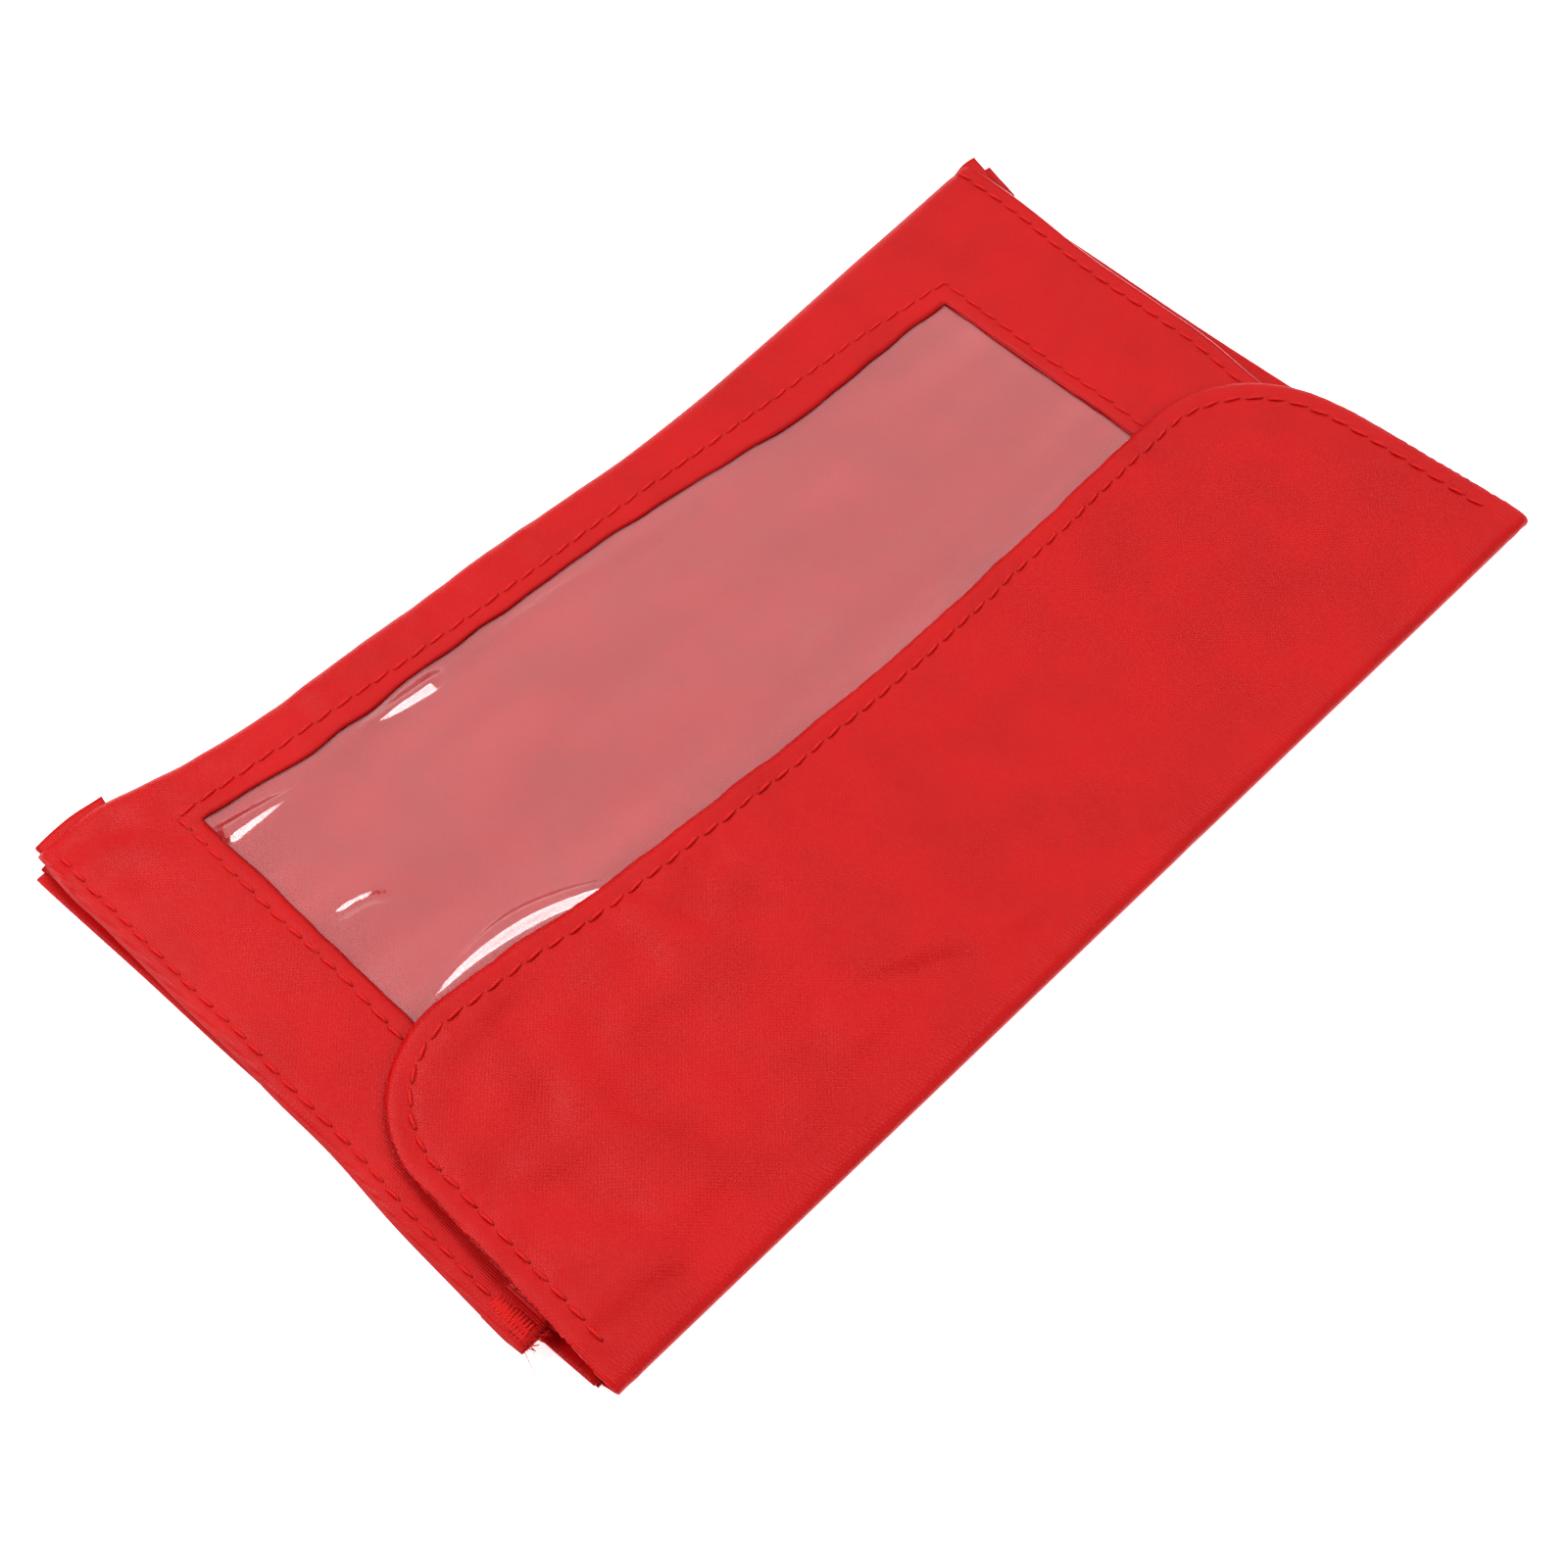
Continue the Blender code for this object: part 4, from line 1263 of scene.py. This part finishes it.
        x, y = x[3:], y[3:]
        low = cloth("flap_lining_cloth", np.stack([x, y, self.height(x, y) - 0.62], -1), 0.4)
        settle(low, LINING, Mover.FLAP, "flap_lining")
        run = line[line[:, 1] > self.root + 1.0]
        row = np.stack([run[:, 0], run[:, 1], self.height(run[:, 0], run[:, 1]) + 0.24], 1)
        thread = settle(Stitch().row("flap_thread", row, seed=33), THREAD, Mover.FLAP, "flap_stitching")
        rng = np.random.default_rng(4)
        start = rim[(rim[:, 0] < -60) & (rim[:, 1] > -34)]
        pick = start[rng.integers(0, len(start), 90)]
        out = pick - np.array(self.left_corner[:2])
        out = out / np.linalg.norm(out, axis=1, keepdims=True)
        roots = np.concatenate([pick, self.height(pick[:, 0], pick[:, 1])[:, None] - 0.3], 1)
        aims = np.concatenate([out, rng.uniform(-0.2, 0.5, (90, 1))], 1)
        fuzz = settle(fibres("flap_edge_fuzz", roots, aims, (0.4, 1.3), 0.045, 5), THREAD, Mover.FLAP)

    def rim(self) -> np.ndarray:
        """The flap's outline as (n, 2) points, from the root's left end round to its right end."""
        edge = self.free_edge(self.middle_columns)
        ends = [np.array([[edge[k, 0], self.root - 6.0]]) for k in (0, -1)]
        line = resampled(np.concatenate([ends[0], edge, ends[1]]), 1.0)[0]
        line[:, 0] = self.spread_sides(line[:, 0], line[:, 1])
        return line


@dataclass
class Studio:
    """White paper floor, soft lamps and the camera."""

    camera_at: tuple[float, float, float] = (-271.8, -212.9, 465.2)
    right: tuple[float, float, float] = (0.6767, -0.7347, 0.0477)
    up: tuple[float, float, float] = (0.5842, 0.5753, 0.5724)
    lens: float = 72.0

    def lamp(
        self,
        name: str,
        towards: Sequence[float],
        distance: float,
        size: tuple[float, float],
        radiance: float,
        glossy: bool = True,
    ) -> None:
        """Adds a rectangular softbox.

        Args:
            name: the lamp's name.
            towards: direction from the pouch to the lamp.
            distance: in metres.
            size: width and height in metres.
            radiance: brightness of its face.
            glossy: False to keep it out of reflections.
        """
        data = bpy.data.lights.new(name, "AREA")
        data.shape, data.size, data.size_y = "RECTANGLE", *size
        data.energy = radiance * math.pi * size[0] * size[1]
        made = bpy.data.objects.new(name, data)
        bpy.context.collection.objects.link(made)
        made.visible_glossy = glossy
        way = np.array(towards, float) / np.linalg.norm(towards)
        side = np.cross([0, 0, 1.0], way)
        side /= np.linalg.norm(side)
        top = np.cross(way, side)
        turn = Matrix(np.stack([side, top, way], 1).tolist()).to_4x4()
        made.matrix_world = Matrix.Translation((way * distance).tolist()) @ turn

    def build(self) -> None:
        """Builds the floor, lamps, background light and camera."""
        scene = bpy.context.scene
        scene.view_settings.view_transform = "Standard"
        u, v = np.meshgrid(np.linspace(-2500, 2500, 9), np.linspace(-2500, 2500, 9))
        floor = cloth("paper_floor", np.stack([u, v, 0 * u - 0.06], -1), 1.0, offset=-1.0)
        WARDROBE.dress(floor, PAPER)
        self.lamp("window_softbox", (0.45, 0.44, 0.78), 1.7, (1.7, 1.7), 1.4)
        self.lamp("far_softbox", (0.20, 0.95, 0.42), 1.9, (1.9, 0.8), 1.2, glossy=False)
        self.lamp("key_softbox", (0.24, 0.0, 0.94), 1.5, (0.42, 0.42), 10.5)
        self.lamp("left_softbox", (-0.54, 0.48, 0.66), 1.05, (0.42, 0.42), 10.4)
        self.lamp("front_softbox", (-0.10, -0.80, 0.80), 1.6, (1.5, 0.9), 1.8)
        self.lamp("side_softbox", (1.0, -0.55, 0.60), 1.7, (0.8, 0.8), 0.8)
        world = bpy.data.worlds.new("studio_air")
        scene.world = world
        world.use_nodes = True
        tree = world.node_tree
        seen = node(tree, "LightPath").outputs["Is Camera Ray"]
        dim = node(tree, "MapRange", {"Value": seen, "To Min": 0.12, "To Max": 1.2})
        air = tree.nodes["Background"]
        air.inputs["Color"].default_value = (1, 1, 1, 1)
        tree.links.new(dim.outputs[0], air.inputs["Strength"])
        data = bpy.data.cameras.new("camera")
        data.lens, data.sensor_width, data.clip_start = self.lens, 36.0, 0.01
        camera = bpy.data.objects.new("camera", data)
        bpy.context.collection.objects.link(camera)
        right, up = np.array(self.right), np.array(self.up)
        turn = Matrix(np.stack([right, up, np.cross(right, up)], 1).tolist()).to_4x4()
        camera.matrix_world = Matrix.Translation([v * MM for v in self.camera_at]) @ turn
        scene.camera = camera


def main() -> None:
    """Builds the pouch from its back to its flap, then the studio."""
    logging.basicConfig(level=logging.INFO, format="%(message)s")
    back = BackBody(LIE)
    back_piece = back.build()
    front_piece = FrontCloth(LIE).build()
    film = Window(LIE).build()
    row = LIE.window_path()
    window_row = np.stack([row[:, 0], row[:, 1], LIE.front_z(row[:, 0], row[:, 1]) + 0.24], 1)
    settle(Stitch().row("window_thread", window_row, seed=11), THREAD, Mover.FRONT_CLOTH, "window_stitching")
    for side in Side:
        SideJoin(LIE, back, side).build()
    MouthHem(LIE).build()
    Tape(LIE, "loop_tape").build(6.45, 1.0, Mover.FRONT, True)
    Tape(LIE, "hook_tape").build(7.85, -1.0, Mover.FLAP, False)
    Flap(LIE).build()
    sewn = ["window_thread", "mouth_hem_strip", "hem_thread"]
    sewn += [f"{s.word}_{n}" for s in Side for n in ("front_seam_strip", "seam_thread", "mouth_tack", "corner_ear")]
    Studio().build()


if __name__ == "__main__":
    main()
